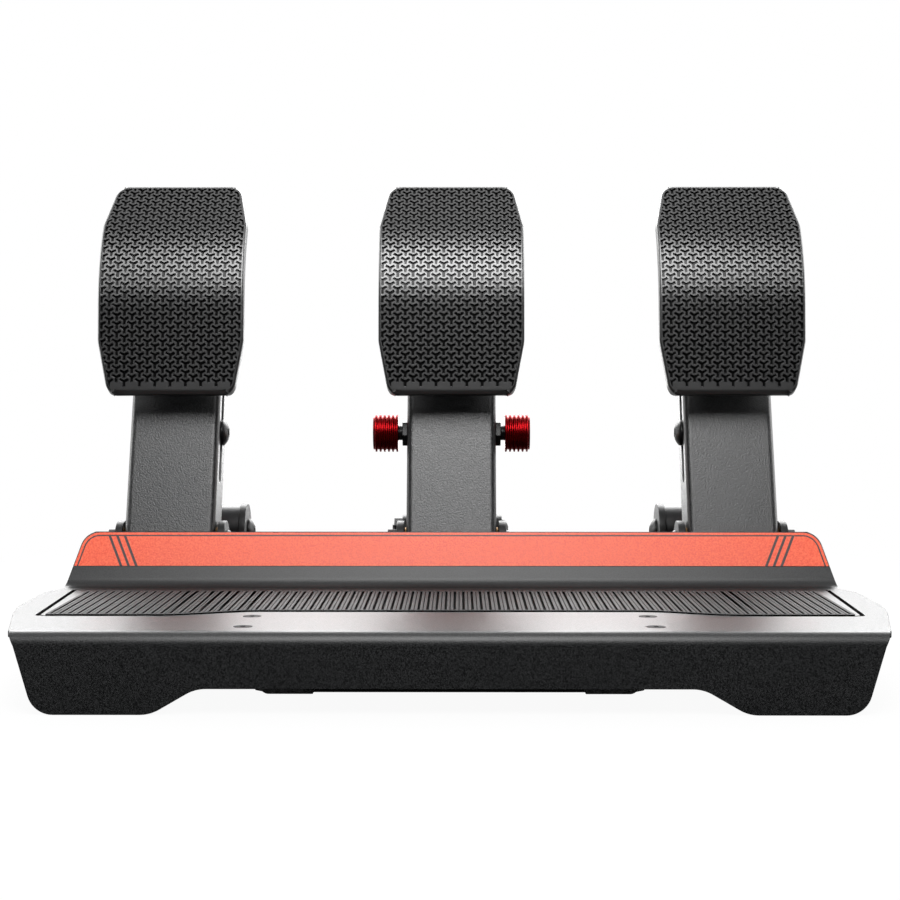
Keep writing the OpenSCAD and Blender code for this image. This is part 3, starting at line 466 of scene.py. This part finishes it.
edit(mat)
for i in range(int(SLICE_FROM / SLICE_WIDE), int(SLICE_TO / SLICE_WIDE)):
    for side in (-1, 1):
        bpy.ops.mesh.select_all(action="SELECT")
        cut = (side * (i + 0.5) * SLICE_WIDE, 0, 0)
        bpy.ops.mesh.bisect(plane_co=cut, plane_no=SIDE_X)
leave()
for vertex in mat.data.vertices:
    from_back = mat_high.y - vertex.co.y
    if from_back > (mat_high.y - mat_low.y) / 2 and abs(vertex.co.x) < SLICE_TO:
        vertex.co.y += drawn_front(vertex.co.x) - solid_front(vertex.co.x)
    elif GROOVE_NEAR < from_back < GROOVE_FAR and abs(vertex.co.x) < mat_high.x - CORNER:
        vertex.co.y -= BORDER
print("mat outline of", len(mat.data.vertices), "points")

# %% [markdown]
# ### The heel plate and the bed for the mat
# The heel plate is one folded sheet, rounded like the rest. A shallow pocket in its deck holds the
# mat, and its walls and floor are painted matte black as shade in the gap around the mat. The mat's
# underside, raised to a block and made a little wider, cuts that pocket, and the cut faces take the
# block's finish.

# %% Cut and line the pocket
HEEL_EDGE = 0.5
# the pocket starts this far in front of the mat, is wider by a factor and lies a hair below it
BED_GAP = 1.5 * MM
BED_WIDER = 1.012
BED_SUNK = 0.02 * MM
# the cutter's height clears the deck
BED_UP = 5 * MM
bed = copy_of(mat, "bed_cutter")
edit(bed)
pick(bed, "polygons", lambda face: face.normal.z > -FACING)
bpy.ops.mesh.delete(type="FACE")
bpy.ops.mesh.select_all(action="SELECT")
bpy.ops.mesh.extrude_region_move(TRANSFORM_OT_translate={"value": (0, 0, BED_UP)})
bpy.ops.mesh.select_all(action="SELECT")
bpy.ops.mesh.normals_make_consistent(inside=False)
leave()
bed.scale.x = BED_WIDER
bed.location = (0, -BED_GAP, -BED_SUNK)
settle(bed)
# the cutter's black, painted shade, passes to the pocket's faces
paint(bed, pocket_painted_shade)
heel = softened("heel_plate", "heel_plate_finished", HEEL_EDGE, EDGE_STEPS)
paint(heel, satin_powder)
combine(heel, bed, "DIFFERENCE")
mount(heel, "heel_plate")
print("pocket faces", sum(face.material_index for face in heel.data.polygons))

# %% Round the ribs, cut the hairlines and lower the border
HAIR_WIDE = 0.45 * MM
HAIR_DEEP = 0.4 * MM
HAIR_TAPER = 0.9
MAT_EDGE = 0.25
# faces at least this far below the top of the ribs belong to the grooves
GROOVE_BELOW = 0.26 * MM
# the ribs end this far out, and the low ends begin
END_FROM = 182.4 * MM
END_BLOCK = 400 * MM
hairs = 2 * int(mat_high.x / RIB_PITCH) + 1
bpy.ops.object.select_all(action="DESELECT")
bpy.ops.mesh.primitive_cube_add(size=1, scale=(HAIR_WIDE, mat_high.y - mat_low.y, 2 * HAIR_DEEP))
bar = bpy.context.object
bar.location = (-RIB_PITCH * (hairs - 1) / 2, (mat_low.y + mat_high.y) / 2, mat_high.z)
settle(bar)
edit(bar)
bar_middle = (bar.data.vertices[0].co.x + bar.data.vertices[-1].co.x) / 2
pick(bar, "polygons", lambda face: face.normal.z < -FACING)
bpy.ops.transform.resize(value=(HAIR_TAPER, 1, 1), center_override=(bar_middle, 0, 0))
leave()
modify(
    bar, "ARRAY", count=hairs, use_relative_offset=False, use_constant_offset=True,
    constant_offset_displace=(RIB_PITCH, 0, 0),
)
round_edges(mat, MAT_EDGE, EDGE_STEPS)
paint(mat, mat_rubber)
combine(mat, bar, "DIFFERENCE")
deck_top = max(v.co.z for v in nodes["heel_plate"].data.vertices if v.co.y < mat_low.y)
border_y = mat_high.y - BORDER
half_block = END_BLOCK / 2
for x, y in ((-END_FROM - half_block, 0), (END_FROM + half_block, 0), (0, border_y + half_block)):
    bpy.ops.object.select_all(action="DESELECT")
    bpy.ops.mesh.primitive_cube_add(size=END_BLOCK, location=(x, y, deck_top + half_block))
    block = bpy.context.object
    settle(block)
    paint(block, smooth_rubber)
    combine(mat, block, "DIFFERENCE")
# the faces down in the grooves and hairlines take the nearly black finish: painted shade
mat.data.materials.append(groove_painted_shade)
edit(mat)
pick(
    mat, "polygons",
    lambda face: mat_low.z + MERGE < face.center.z < mat_high.z - GROOVE_BELOW
    and abs(face.center.x) < END_FROM - MERGE and face.center.y < border_y - MERGE,
)
mat.active_material_index = len(mat.data.materials) - 1
bpy.ops.object.material_slot_assign()
leave()
mount(mat, "heel_mat")
print("mat with", hairs, "hairlines and", len(mat.data.polygons), "faces")

# %% [markdown]
# ## The tread of a pad
# Each pad is a bent plate whose whole front is covered by small Y-shaped pits, so a shoe can't
# slip. A bump map would lose the pits at the bend, where they catch the most light, so they are
# cut. One tapered Y is modelled from a triangle, set out on a triangular lattice that follows the
# bend, trimmed to leave a smooth rim, and taken out of the plate in one boolean.

# %% One pit
PIT_ARM = 2.75 * MM
PIT_WIDE = 1.5 * MM
PIT_DEEP = 1.1 * MM
PIT_ABOVE = 0.3 * MM
PIT_TAPER = 0.9
# the ways in which a pit's three arms point, in degrees
PIT_TURNS = (30, 150, 270)
# a side of the hub belongs to an arm if it lies within this cosine of the arm's way
ARM_SIDE = 0.9
# a shallow slope leads into each pit
LIP_WIDE = 0.2 * MM
LIP_DEEP = 0.095 * MM


def pit_cutter():
    hub = PIT_WIDE / math.sqrt(3)
    above = (0, 0, PIT_ABOVE)
    bpy.ops.object.select_all(action="DESELECT")
    bpy.ops.mesh.primitive_circle_add(vertices=3, radius=hub, fill_type="NGON", location=above)
    cutter = bpy.context.object
    edit(cutter)
    for turn in PIT_TURNS:
        way = Vector((math.cos(math.radians(turn)), math.sin(math.radians(turn)), 0))

        def hub_side(edge):
            ends = [cutter.data.vertices[i].co for i in edge.vertices]
            middle = (ends[0] + ends[1]) / 2
            return middle.to_2d().length < hub and middle.normalized().dot(way) > ARM_SIDE

        pick(cutter, "edges", hub_side)
        out = way * (PIT_ARM - hub / 2)
        bpy.ops.mesh.extrude_edges_move(TRANSFORM_OT_translate={"value": out})
    bpy.ops.mesh.select_mode(type="FACE")
    bpy.ops.mesh.select_all(action="SELECT")
    bpy.ops.mesh.extrude_region_move(TRANSFORM_OT_translate={"value": (0, 0, -PIT_ABOVE)})
    bpy.ops.mesh.select_all(action="SELECT")
    bpy.ops.mesh.normals_make_consistent(inside=False)
    pick(cutter, "polygons", lambda face: face.normal.z < -FACING)
    bpy.ops.mesh.inset(thickness=LIP_WIDE, depth=LIP_DEEP, use_even_offset=True)
    down = (0, 0, LIP_DEEP - PIT_DEEP)
    bpy.ops.mesh.extrude_region_move(TRANSFORM_OT_translate={"value": down})
    bpy.ops.transform.resize(value=(PIT_TAPER, PIT_TAPER, 1), center_override=(0, 0, 0))
    bpy.ops.mesh.select_all(action="SELECT")
    bpy.ops.mesh.normals_make_consistent(inside=False)
    leave()
    settle(cutter)
    return cutter


pit = pit_cutter()
# the pits carry their nearly black finish, painted shade, into the pad through the boolean
paint(pit, pit_painted_shade)
print("pit faces", len(pit.data.polygons))

# %% Where the pits go on the bent face
COLUMN = 4.1 * MM
ROW = 4.73 * MM
# the lowest row's height above the pad's foot
PAD_FOOT = 6.6 * MM
SAMPLES = 240
Mark = namedtuple("Mark", "length spot facing")


def front_line(node):
    """Points up the middle of a pad's front, with the length along it and the way it faces."""
    low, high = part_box(node)
    line = []
    length = 0.0
    for i in range(SAMPLES + 1):
        z = low.z + (high.z - low.z) * i / SAMPLES
        hit, spot, facing, _ = nodes[node].ray_cast((0, RAY_START, z), TO_BACK)
        if hit and facing.dot(TO_FRONT) > FACING:
            if line:
                length += (spot - line[-1].spot).length
            line.append(Mark(length, spot, facing))
    return line


def place_on(line, length, x):
    """The matrix that stands a pit on the face at a length up it and a distance across."""
    i = next(k for k, mark in enumerate(line) if mark.length >= length)
    before = line[max(i - 1, 0)]
    after = line[i]
    share = (length - before.length) / max(after.length - before.length, MERGE)
    spot = before.spot.lerp(after.spot, share) + SIDE_X * x
    up = after.facing.cross(SIDE_X)
    turn = Matrix((SIDE_X, up, after.facing)).transposed()
    return Matrix.Translation(spot) @ turn.to_4x4()


face_line = front_line("brake_pad")
pad_low, pad_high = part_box("brake_pad")
columns = int((pad_high.x - pad_low.x) / 2 / COLUMN) + 1
pits = []
for column in range(-columns, columns + 1):
    length = PAD_FOOT + ROW / 2 * (column % 2)
    while length < face_line[-1].length:
        spare = copy_of(pit, "spare_pit")
        spare.matrix_world = place_on(face_line, length, column * COLUMN)
        pits.append(spare)
        length += ROW
print(len(pits), "pits along", round(face_line[-1].length / MM, 1), "mm")

# %% Join the pits, trim them to the rim and cut the pad
PAD_RIM = 1.5 * MM
PAD_EDGE = 1.3
PAD_STEPS = 3
# the lowest edge of the front is rounded more, and found by how near it lies to the first mark
FOOT_NEAR = 0.5 * MM
FOOT_EDGE = 3.2 * MM
FOOT_STEPS = 6
BLOCK_AHEAD = 3 * MM
BLOCK_DEEP = 6 * MM


def inner_block(node, facing, rim):
    """A block over a solid's broad face that leaves out a rim along the face's border."""
    block = merged(node, "trim_block")
    edit(block)
    pick(block, "polygons", lambda face: face.normal.dot(facing) > FACING)
    bpy.ops.mesh.inset(thickness=rim, depth=0, use_even_offset=True)
    bpy.ops.mesh.select_all(action="INVERT")
    bpy.ops.mesh.delete(type="FACE")
    bpy.ops.mesh.select_all(action="SELECT")
    bpy.ops.transform.translate(value=facing * BLOCK_AHEAD)
    inward = facing * -BLOCK_DEEP
    bpy.ops.mesh.extrude_region_move(TRANSFORM_OT_translate={"value": inward})
    bpy.ops.mesh.select_all(action="SELECT")
    bpy.ops.mesh.normals_make_consistent(inside=False)
    leave()
    return block


only(pits[0])
for spare in pits:
    spare.select_set(True)
bpy.ops.object.join()
tread = pits[0]
settle(tread)
combine(tread, inner_block("brake_pad", TO_FRONT, PAD_RIM), "INTERSECT")
bpy.data.objects.remove(pit)
treaded = merged("brake_pad", "brake_pad_treaded")
edit(treaded)
pick(
    treaded, "edges",
    lambda edge: all(
        (treaded.data.vertices[i].co - face_line[0].spot).yz.length < FOOT_NEAR for i in edge.vertices
    ),
)
bpy.ops.mesh.bevel(offset=FOOT_EDGE, segments=FOOT_STEPS, affect="EDGES")
leave()
round_edges(treaded, PAD_EDGE, PAD_STEPS)
paint(treaded, pad_polymer)
combine(treaded, tread, "DIFFERENCE")
print("treaded pad", len(treaded.data.polygons), "faces")

# %% Three pads from one
for pedal in PEDALS:
    pad = treaded if pedal == "brake" else copy_of(treaded, pedal + "_pad_treaded")
    pad.location.x = joints[pedal + "_pivot"]["pos_m"][0]
    settle(pad)
    mount(pad, pedal + "_pad")

# %% [markdown]
# ## The printed film
# An orange film covers the upper riser, with a dark pinstripe just inside its top and sides and
# three slanted stripes near each end. A print has crisp borders, so they are cut into the mesh:
# two insets draw the pinstripe, bisect draws the stripes, and the dark faces get the dark ink.

# %% Draw the pinstripe
LINE_IN = 1.3 * MM
LINE_WIDE = 0.75 * MM
TAIL = 4 * MM
TAIL_SLOPE = math.tan(math.radians(15))
# faces whose normal is this close to the film's own belong to its front
SAME_WAY = 0.99
FACES = {"plain": 0, "ink": 1, "field": 2}
film = merged("riser_decal", "riser_decal_printed")
film.data.materials.clear()
for finish in (orange_film, dark_ink, orange_film):
    film.data.materials.append(finish)
front_face = max(film.data.polygons, key=lambda face: face.area * -face.normal.y)
film_facing = front_face.normal.copy()
film_up = film_facing.cross(SIDE_X)
film_middle = Vector((0, front_face.center.y, front_face.center.z))


def film_height(point):
    return (point - film_middle).dot(film_up)


def print_faces(kind):
    """Marks the selected faces as plain film, ink or the field inside the pinstripe."""
    film.active_material_index = FACES[kind]
    bpy.ops.object.material_slot_assign()


spans = [(vertex.co - film_middle).dot(film_facing) for vertex in film.data.vertices]
film_t = max(spans) - min(spans)
edit(film)
pick(film, "polygons", lambda face: face.normal.dot(film_facing) < SAME_WAY)
bpy.ops.mesh.delete(type="FACE")
leave()
heights = [film_height(vertex.co) for vertex in film.data.vertices]
film_foot = min(heights)
film_head = max(heights)
edit(film)
print_faces("plain")
# the foot is pulled down while the pinstripe is drawn, so that its ends run off the edge
for side in (-1, 1):
    slope = SIDE_X * side * TAIL_SLOPE - film_up
    pick(film, "vertices", lambda v: film_height(v.co) < film_foot + MERGE and v.co.x * side > 0)
    bpy.ops.transform.translate(value=slope * TAIL)
bpy.ops.mesh.select_mode(type="FACE")
bpy.ops.mesh.select_all(action="SELECT")
bpy.ops.mesh.inset(thickness=LINE_IN, depth=0, use_even_offset=True)
print_faces("ink")
bpy.ops.mesh.inset(thickness=LINE_WIDE, depth=0, use_even_offset=True)
print_faces("field")
leave()
print("film is", round((film_head - film_foot) / MM, 2), "mm high and", round(film_t / MM, 2), "thick")

# %% Draw the slanted stripes and give the film its thickness
STRIPE_FROM = 178.65 * MM
STRIPE_PITCH = 3.95 * MM
STRIPE_WIDE = 1.4 * MM
STRIPE_LEAN = math.radians(23)
STRIPES = 3


def in_stripe(point):
    """Whether a point of the film lies on one of the slanted stripes, on either half."""
    inward = STRIPE_FROM - abs(point.x) - (film_head - film_height(point)) * math.tan(STRIPE_LEAN)
    return 0 < inward < STRIPES * STRIPE_PITCH and inward % STRIPE_PITCH < STRIPE_WIDE


edit(film)
for side in (-1, 1):
    across = SIDE_X * side * math.cos(STRIPE_LEAN) - film_up * math.sin(STRIPE_LEAN)
    for i in range(STRIPES):
        for border in (i * STRIPE_PITCH, i * STRIPE_PITCH + STRIPE_WIDE):
            spot = film_middle + film_up * film_head + SIDE_X * side * (STRIPE_FROM - border)
            pick(film, "polygons", lambda face: face.material_index == FACES["field"])
            bpy.ops.mesh.bisect(plane_co=spot, plane_no=across)
bpy.ops.mesh.select_all(action="SELECT")
foot_spot = film_middle + film_up * film_foot
bpy.ops.mesh.bisect(plane_co=foot_spot, plane_no=film_up, clear_inner=True)
pick(film, "polygons", lambda f: f.material_index == FACES["field"] and in_stripe(f.center))
print_faces("ink")
pick(film, "polygons", lambda face: face.material_index == FACES["field"])
print_faces("plain")
bpy.ops.mesh.select_all(action="SELECT")
bpy.ops.mesh.extrude_region_move(TRANSFORM_OT_translate={"value": film_facing * -film_t})
bpy.ops.mesh.select_all(action="SELECT")
bpy.ops.mesh.normals_make_consistent(inside=False)
leave()
film.data.materials.pop(index=FACES["field"])
mount(film, "riser_decal")
print("film cut into", len(film.data.polygons), "faces")

# %% [markdown]
# ## The springs
# Behind the clutch and the throttle a coil spring pushes each strut apart. The wire is a circle
# carried round by the Screw modifier, and its rise is then redrawn so that the last turn at each
# end lies close, as on a wound spring.

# %% Wind a spring
WIRE_R = 1.3 * MM
WIRE_SIDES = 12
COIL_R = 12 * MM
COIL_TURNS = 6.5
COIL_STEPS = 28
CLOSE_GAP = 0.6 * MM
CLOSE_RISE = 2 * WIRE_R + CLOSE_GAP


def strut_line(pedal):
    """A strut's rear anchor and the direction in which its rod points."""
    anchor = Vector(joints[pedal + "_strut_swing"]["pos_m"])
    return anchor, -Vector(joints[pedal + "_strut_stroke"]["axis"]).normalized()


def stand_on_strut(piece, pedal, height):
    """Turns a piece that was built up the Z axis onto a strut, at a height above its anchor."""
    anchor, up = strut_line(pedal)
    turn = up.to_track_quat("Z", "Y").to_matrix().to_4x4()
    piece.matrix_world = Matrix.Translation(anchor + up * height) @ turn
    settle(piece)


def coil_rise(turn, high):
    """Height of the wire's middle after so many turns, with close end turns."""
    open_rise = (high - 2 * CLOSE_RISE) / (COIL_TURNS - 2)
    if turn < 1:
        return turn * CLOSE_RISE
    if turn < COIL_TURNS - 1:
        return CLOSE_RISE + (turn - 1) * open_rise
    return high - (COIL_TURNS - turn) * CLOSE_RISE


def wind(name, length):
    high = length - 2 * WIRE_R
    steps = int(COIL_TURNS * COIL_STEPS)
    bpy.ops.object.select_all(action="DESELECT")
    bpy.ops.mesh.primitive_circle_add(
        vertices=WIRE_SIDES, radius=WIRE_R, location=(COIL_R, 0, WIRE_R),
        rotation=(math.pi / 2, 0, 0),
    )
    coil = bpy.context.object
    coil.name = name
    settle(coil)
    modify(
        coil, "SCREW", axis="Z", angle=COIL_TURNS * 2 * math.pi, screw_offset=high,
        steps=steps, render_steps=steps, iterations=1,
    )
    for vertex in coil.data.vertices:
        ring = vertex.index // WIRE_SIDES
        turn = COIL_TURNS * ring / (len(coil.data.vertices) / WIRE_SIDES - 1)
        vertex.co.z += coil_rise(turn, high) - high * turn / COIL_TURNS
    edit(coil)
    bpy.ops.mesh.fill_holes(sides=WIRE_SIDES)
    bpy.ops.mesh.select_all(action="SELECT")
    bpy.ops.mesh.normals_make_consistent(inside=False)
    leave()
    return coil


def let_shrink(piece):
    """Gives a piece on a strut its own copy of its mesh."""
    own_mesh(piece)


for pedal in SPRUNG:
    node = pedal + "_spring"
    low, high = reach(node, *strut_line(pedal))
    spring = wind(node + "_wound", high - low)
    stand_on_strut(spring, pedal, low)
    paint(spring, spring_wire)
    mount(spring, node)
    let_shrink(spring)
    print(spring.name, round((high - low) / MM, 2), "mm long")

# %% [markdown]
# ## The brake's rubber spring
# The brake is stiff because its strut pushes on a cast polyurethane block with three bulges. It is
# a turned shape, so a line of points is drawn by extruding one vertex and then spun about the axis.

# %% Turn the rubber spring
BULGES = 3
BULGE_R = 14 * MM
WAIST_R = 11.4 * MM
BORE_R = 8.5 * MM
BULGE_POINTS = 14
# below 1 the bulges are fuller than a plain sine
BULGE_POWER = 0.6
LATHE_STEPS = 64


def lathe(name, profile):
    """Spins a closed line of (radius, height) points about the Z axis."""
    bpy.ops.object.select_all(action="DESELECT")
    bpy.ops.mesh.primitive_plane_add(size=MM)
    piece = bpy.context.object
    piece.name = name
    edit(piece)
    pick(piece, "vertices", lambda vertex: vertex.index > 0)
    bpy.ops.mesh.delete(type="VERT")
    bpy.ops.mesh.select_all(action="SELECT")
    leave()
    last = piece.data.vertices[0].co.copy()
    bpy.ops.object.mode_set(mode="EDIT")
    points = [Vector((radius, 0, height)) for radius, height in profile]
    bpy.ops.transform.translate(value=points[0] - last)
    for before, after in zip(points, points[1:] + points[:1]):
        bpy.ops.mesh.extrude_region_move(TRANSFORM_OT_translate={"value": after - before})
    bpy.ops.mesh.select_all(action="SELECT")
    bpy.ops.mesh.remove_doubles(threshold=MERGE)
    bpy.ops.mesh.spin(steps=LATHE_STEPS, angle=2 * math.pi, center=(0, 0, 0), axis=(0, 0, 1))
    bpy.ops.mesh.select_all(action="SELECT")
    bpy.ops.mesh.remove_doubles(threshold=MERGE)
    bpy.ops.mesh.normals_make_consistent(inside=False)
    leave()
    return piece


def bulge_line(length):
    line = [(BORE_R, 0.0)]
    for i in range(BULGES * BULGE_POINTS + 1):
        swell = abs(math.sin(math.pi * i / BULGE_POINTS)) ** BULGE_POWER
        line.append((WAIST_R + (BULGE_R - WAIST_R) * swell, length * i / (BULGES * BULGE_POINTS)))
    return line + [(BORE_R, length)]


low, high = reach("brake_elastomer", *strut_line("brake"))
rubber = lathe("brake_elastomer_cast", bulge_line(high - low))
stand_on_strut(rubber, "brake", low)
paint(rubber, polyurethane)
mount(rubber, "brake_elastomer")
let_shrink(rubber)
print(rubber.name, len(rubber.data.polygons), "faces")

# %% [markdown]
# ## Threads
# The preload nuts run on threaded guide tubes. At this size a helix and plain rings look alike, so
# each thread is a lathe piece with a saw-tooth outside, sunk a little into its tube.

# %% Turn the threads
PITCH = 1.5 * MM
THREAD_RISE = 0.45 * MM
THREAD_SUNK = 0.8 * MM
TUBE_R = 8 * MM
END_GAP = 0.8 * MM


def thread_line(radius, length):
    turns = int(length / PITCH)
    line = [(radius - THREAD_SUNK, 0.0)]
    for i in range(turns):
        line.append((radius - MERGE, i * PITCH))
        line.append((radius + THREAD_RISE, (i + 0.5) * PITCH))
    return line + [(radius - MERGE, turns * PITCH), (radius - THREAD_SUNK, turns * PITCH)]


for pedal in SPRUNG:
    tube = pedal + "_strut_tube"
    low = reach(pedal + "_preload_nut", *strut_line(pedal))[1]
    high = reach(tube, *strut_line(pedal))[1] - END_GAP
    thread = lathe(pedal + "_tube_thread", thread_line(TUBE_R, high - low))
    stand_on_strut(thread, pedal, low)
    paint(thread, dark_anodised)
    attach(thread, body_of[tube])
    print(thread.name, len(thread.data.polygons), "faces")

# %% [markdown]
# ## The studio
# The picture was taken on white. A box of light high in front draws the band across the pads, a
# weak one above fills their tops, one high behind makes the deck shine, a low strip behind lights
# the flanks of the arms, and boxes at both sides light their bends. The world is white for the
# camera. In reflections it is white behind the object and nearly black in front, where a studio is
# dark, so vertical faces stay dark. The floor is pale and keeps a soft shadow.

# %% World and floor
FLOOR_SIZE = 8
FLOOR_GAP = 0.05 * MM
WHITE = (1, 1, 1, 1)
AMBIENT = (0.3, 0.3, 0.3, 1)
FRONT_DARK = (0.018, 0.018, 0.018, 1)
FLOOR_PALE = (0.8, 0.8, 0.8, 1)
FLOOR_GLOW = 0.94
# distances from the object's middle between which the floor turns white for the camera, in metres
GLOW_FROM = 0.3
GLOW_FULL = 0.6
# the Y part of a direction where the bright wall behind begins and where it is full
WALL_FROM = -0.1
WALL_FULL = 0.4
# how far in front of and behind the object's middle the floor turns from dark to bright, in metres
PAPER_FROM = -0.05
PAPER_FULL = 0.6


def reflected(tree, ray):
    """1 for a ray that comes from a shiny or clear surface, otherwise 0."""
    either = add(
        tree, "ShaderNodeMath", {"operation": "MAXIMUM"},
        {0: ray.outputs["Is Glossy Ray"], 1: ray.outputs["Is Transmission Ray"]},
    )
    return either.outputs[0]


def backward(tree, coordinate, start, full):
    """How far a direction or a place lies to the back, from 0 to 1."""
    place = add(tree, "ShaderNodeTexCoord", {}, {})
    parts = add(tree, "ShaderNodeSeparateXYZ", {}, {"Vector": place.outputs[coordinate]})
    share = add(
        tree, "ShaderNodeMapRange", {},
        {"Value": parts.outputs["Y"], "From Min": start, "From Max": full},
    )
    return share.outputs["Result"]


def white_world():
    world = bpy.data.worlds.new("white_studio")
    world.use_nodes = True
    tree = world.node_tree
    ray = add(tree, "ShaderNodeLightPath", {}, {})
    shiny = reflected(tree, ray)
    wall = add(
        tree, "ShaderNodeMath", {"operation": "MULTIPLY"},
        {0: shiny, 1: backward(tree, "Generated", WALL_FROM, WALL_FULL)},
    )
    white = add(
        tree, "ShaderNodeMath", {"operation": "MAXIMUM"},
        {0: ray.outputs["Is Camera Ray"], 1: wall.outputs[0]},
    )
    room = add(
        tree, "ShaderNodeMix", {"data_type": "RGBA"},
        {"Factor": shiny, MIX_A: AMBIENT, MIX_B: FRONT_DARK},
    )
    colour = add(
        tree, "ShaderNodeMix", {"data_type": "RGBA"},
        {"Factor": white.outputs[0], MIX_A: room.outputs[MIX_RESULT], MIX_B: WHITE},
    )
    tree.links.new(colour.outputs[MIX_RESULT], tree.nodes["Background"].inputs["Color"])
    return world


def pale_floor():
    material = bpy.data.materials.new("pale_floor_paper")
    material.use_nodes = True
    tree = material.node_tree
    tree.nodes.remove(tree.nodes["Principled BSDF"])
    ray = add(tree, "ShaderNodeLightPath", {}, {})
    paper = add(tree, "ShaderNodeBsdfDiffuse", {}, {"Color": FLOOR_PALE})
    glow = add(tree, "ShaderNodeEmission", {}, {"Color": WHITE})
    seen = add(
        tree, "ShaderNodeMix", {"data_type": "RGBA"},
        {"Factor": backward(tree, "Object", PAPER_FROM, PAPER_FULL),
         MIX_A: FRONT_DARK, MIX_B: WHITE},
    )
    mirrored = add(tree, "ShaderNodeEmission", {}, {"Color": seen.outputs[MIX_RESULT]})
    place = add(tree, "ShaderNodeTexCoord", {}, {})
    away = add(
        tree, "ShaderNodeVectorMath", {"operation": "LENGTH"}, {0: place.outputs["Object"]},
    )
    fade = add(
        tree, "ShaderNodeMapRange", {},
        {"Value": away.outputs["Value"], "From Min": GLOW_FROM, "From Max": GLOW_FULL,
         "To Min": FLOOR_GLOW},
    )
    share = add(
        tree, "ShaderNodeMath", {"operation": "MULTIPLY"},
        {0: ray.outputs["Is Camera Ray"], 1: fade.outputs["Result"]},
    )
    shown = add(
        tree, "ShaderNodeMixShader", {},
        {0: share.outputs[0], 1: paper.outputs["BSDF"], 2: glow.outputs["Emission"]},
    )
    mixed = add(
        tree, "ShaderNodeMixShader", {},
        {0: reflected(tree, ray), 1: shown.outputs["Shader"], 2: mirrored.outputs["Emission"]},
    )
    tree.links.new(mixed.outputs["Shader"], tree.nodes["Material Output"].inputs["Surface"])
    return material


bpy.context.scene.world = white_world()
bpy.ops.object.select_all(action="DESELECT")
bpy.ops.mesh.primitive_plane_add(size=FLOOR_SIZE, location=(0, 0, -FLOOR_GAP))
floor = bpy.context.object
floor.name = "studio_floor"
floor.data.materials.append(pale_floor())
floor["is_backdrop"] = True
print("floor", FLOOR_SIZE, "m wide")

# %% Lamps
# where all the lamps look, in metres
TARGET = Vector((0, 0, 0.13))
# name, azimuth from the front and elevation in degrees, distance and size in metres, radiance
LAMPS = (
    ("front_box", 0, 48.5, 1.05, (0.6, 0.68), 7.5),
    ("top_box", 0, 84, 1.0, (0.9, 0.3), 0.6),
    ("back_box", 180, 31, 1.4, (1.8, 0.85), 7.5),
    ("low_box", 180, -1, 1.5, (0.7, 0.2), 6.0),
    ("left_box", -104, 18, 1.4, (0.8, 1.2), 3.8),
    ("right_box", 104, 18, 1.4, (0.8, 1.2), 3.8),
)


def soft_box(name, azimuth, elevation, distance, size, radiance):
    """A rectangular lamp that looks at the object, as bright per area as the radiance says."""
    a = math.radians(azimuth)
    e = math.radians(elevation)
    way = Vector((math.sin(a) * math.cos(e), -math.cos(a) * math.cos(e), math.sin(e)))
    bpy.ops.object.light_add(type="AREA", location=TARGET + way * distance)
    lamp = bpy.context.object
    lamp.name = name
    lamp.rotation_euler = way.to_track_quat("Z", "Y").to_euler()
    lamp.data.shape = "RECTANGLE"
    lamp.data.size, lamp.data.size_y = size
    lamp.data.energy = radiance * math.pi * size[0] * size[1]
    lamp.visible_camera = False
    print(name, round(lamp.data.energy, 1), "W")


for lamp_row in LAMPS:
    soft_box(*lamp_row)

# %% [markdown]
# ## The camera
# The mat's ribs run back to a horizon near the foot of the pads. From that and from the widths of
# pieces at different depths, the lens is about 75 mm and stands a little less than a metre in
# front, some 10 cm above the deck.

# %% Camera
CAMERA_PLACE = (0.0044, -0.9531, 0.1406)
CAMERA_DOWN = math.radians(2.15)
CAMERA_YAW = math.radians(0.3)
LENS = 73.5
CAMERA_TURN = (math.pi / 2 - CAMERA_DOWN, 0, CAMERA_YAW)
bpy.ops.object.camera_add(location=CAMERA_PLACE, rotation=CAMERA_TURN)
camera = bpy.context.object
camera.data.lens = LENS
bpy.context.scene.camera = camera
bpy.context.scene.view_settings.view_transform = "Standard"
print("lens", LENS, "mm")

# %% [markdown]
# ## Sizes and the end
# The dressed object has to stay as large as its solids, so the box of what is drawn is printed.

# %% Print the dressed object's box
low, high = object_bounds()
print("visual box", low[:], high[:])
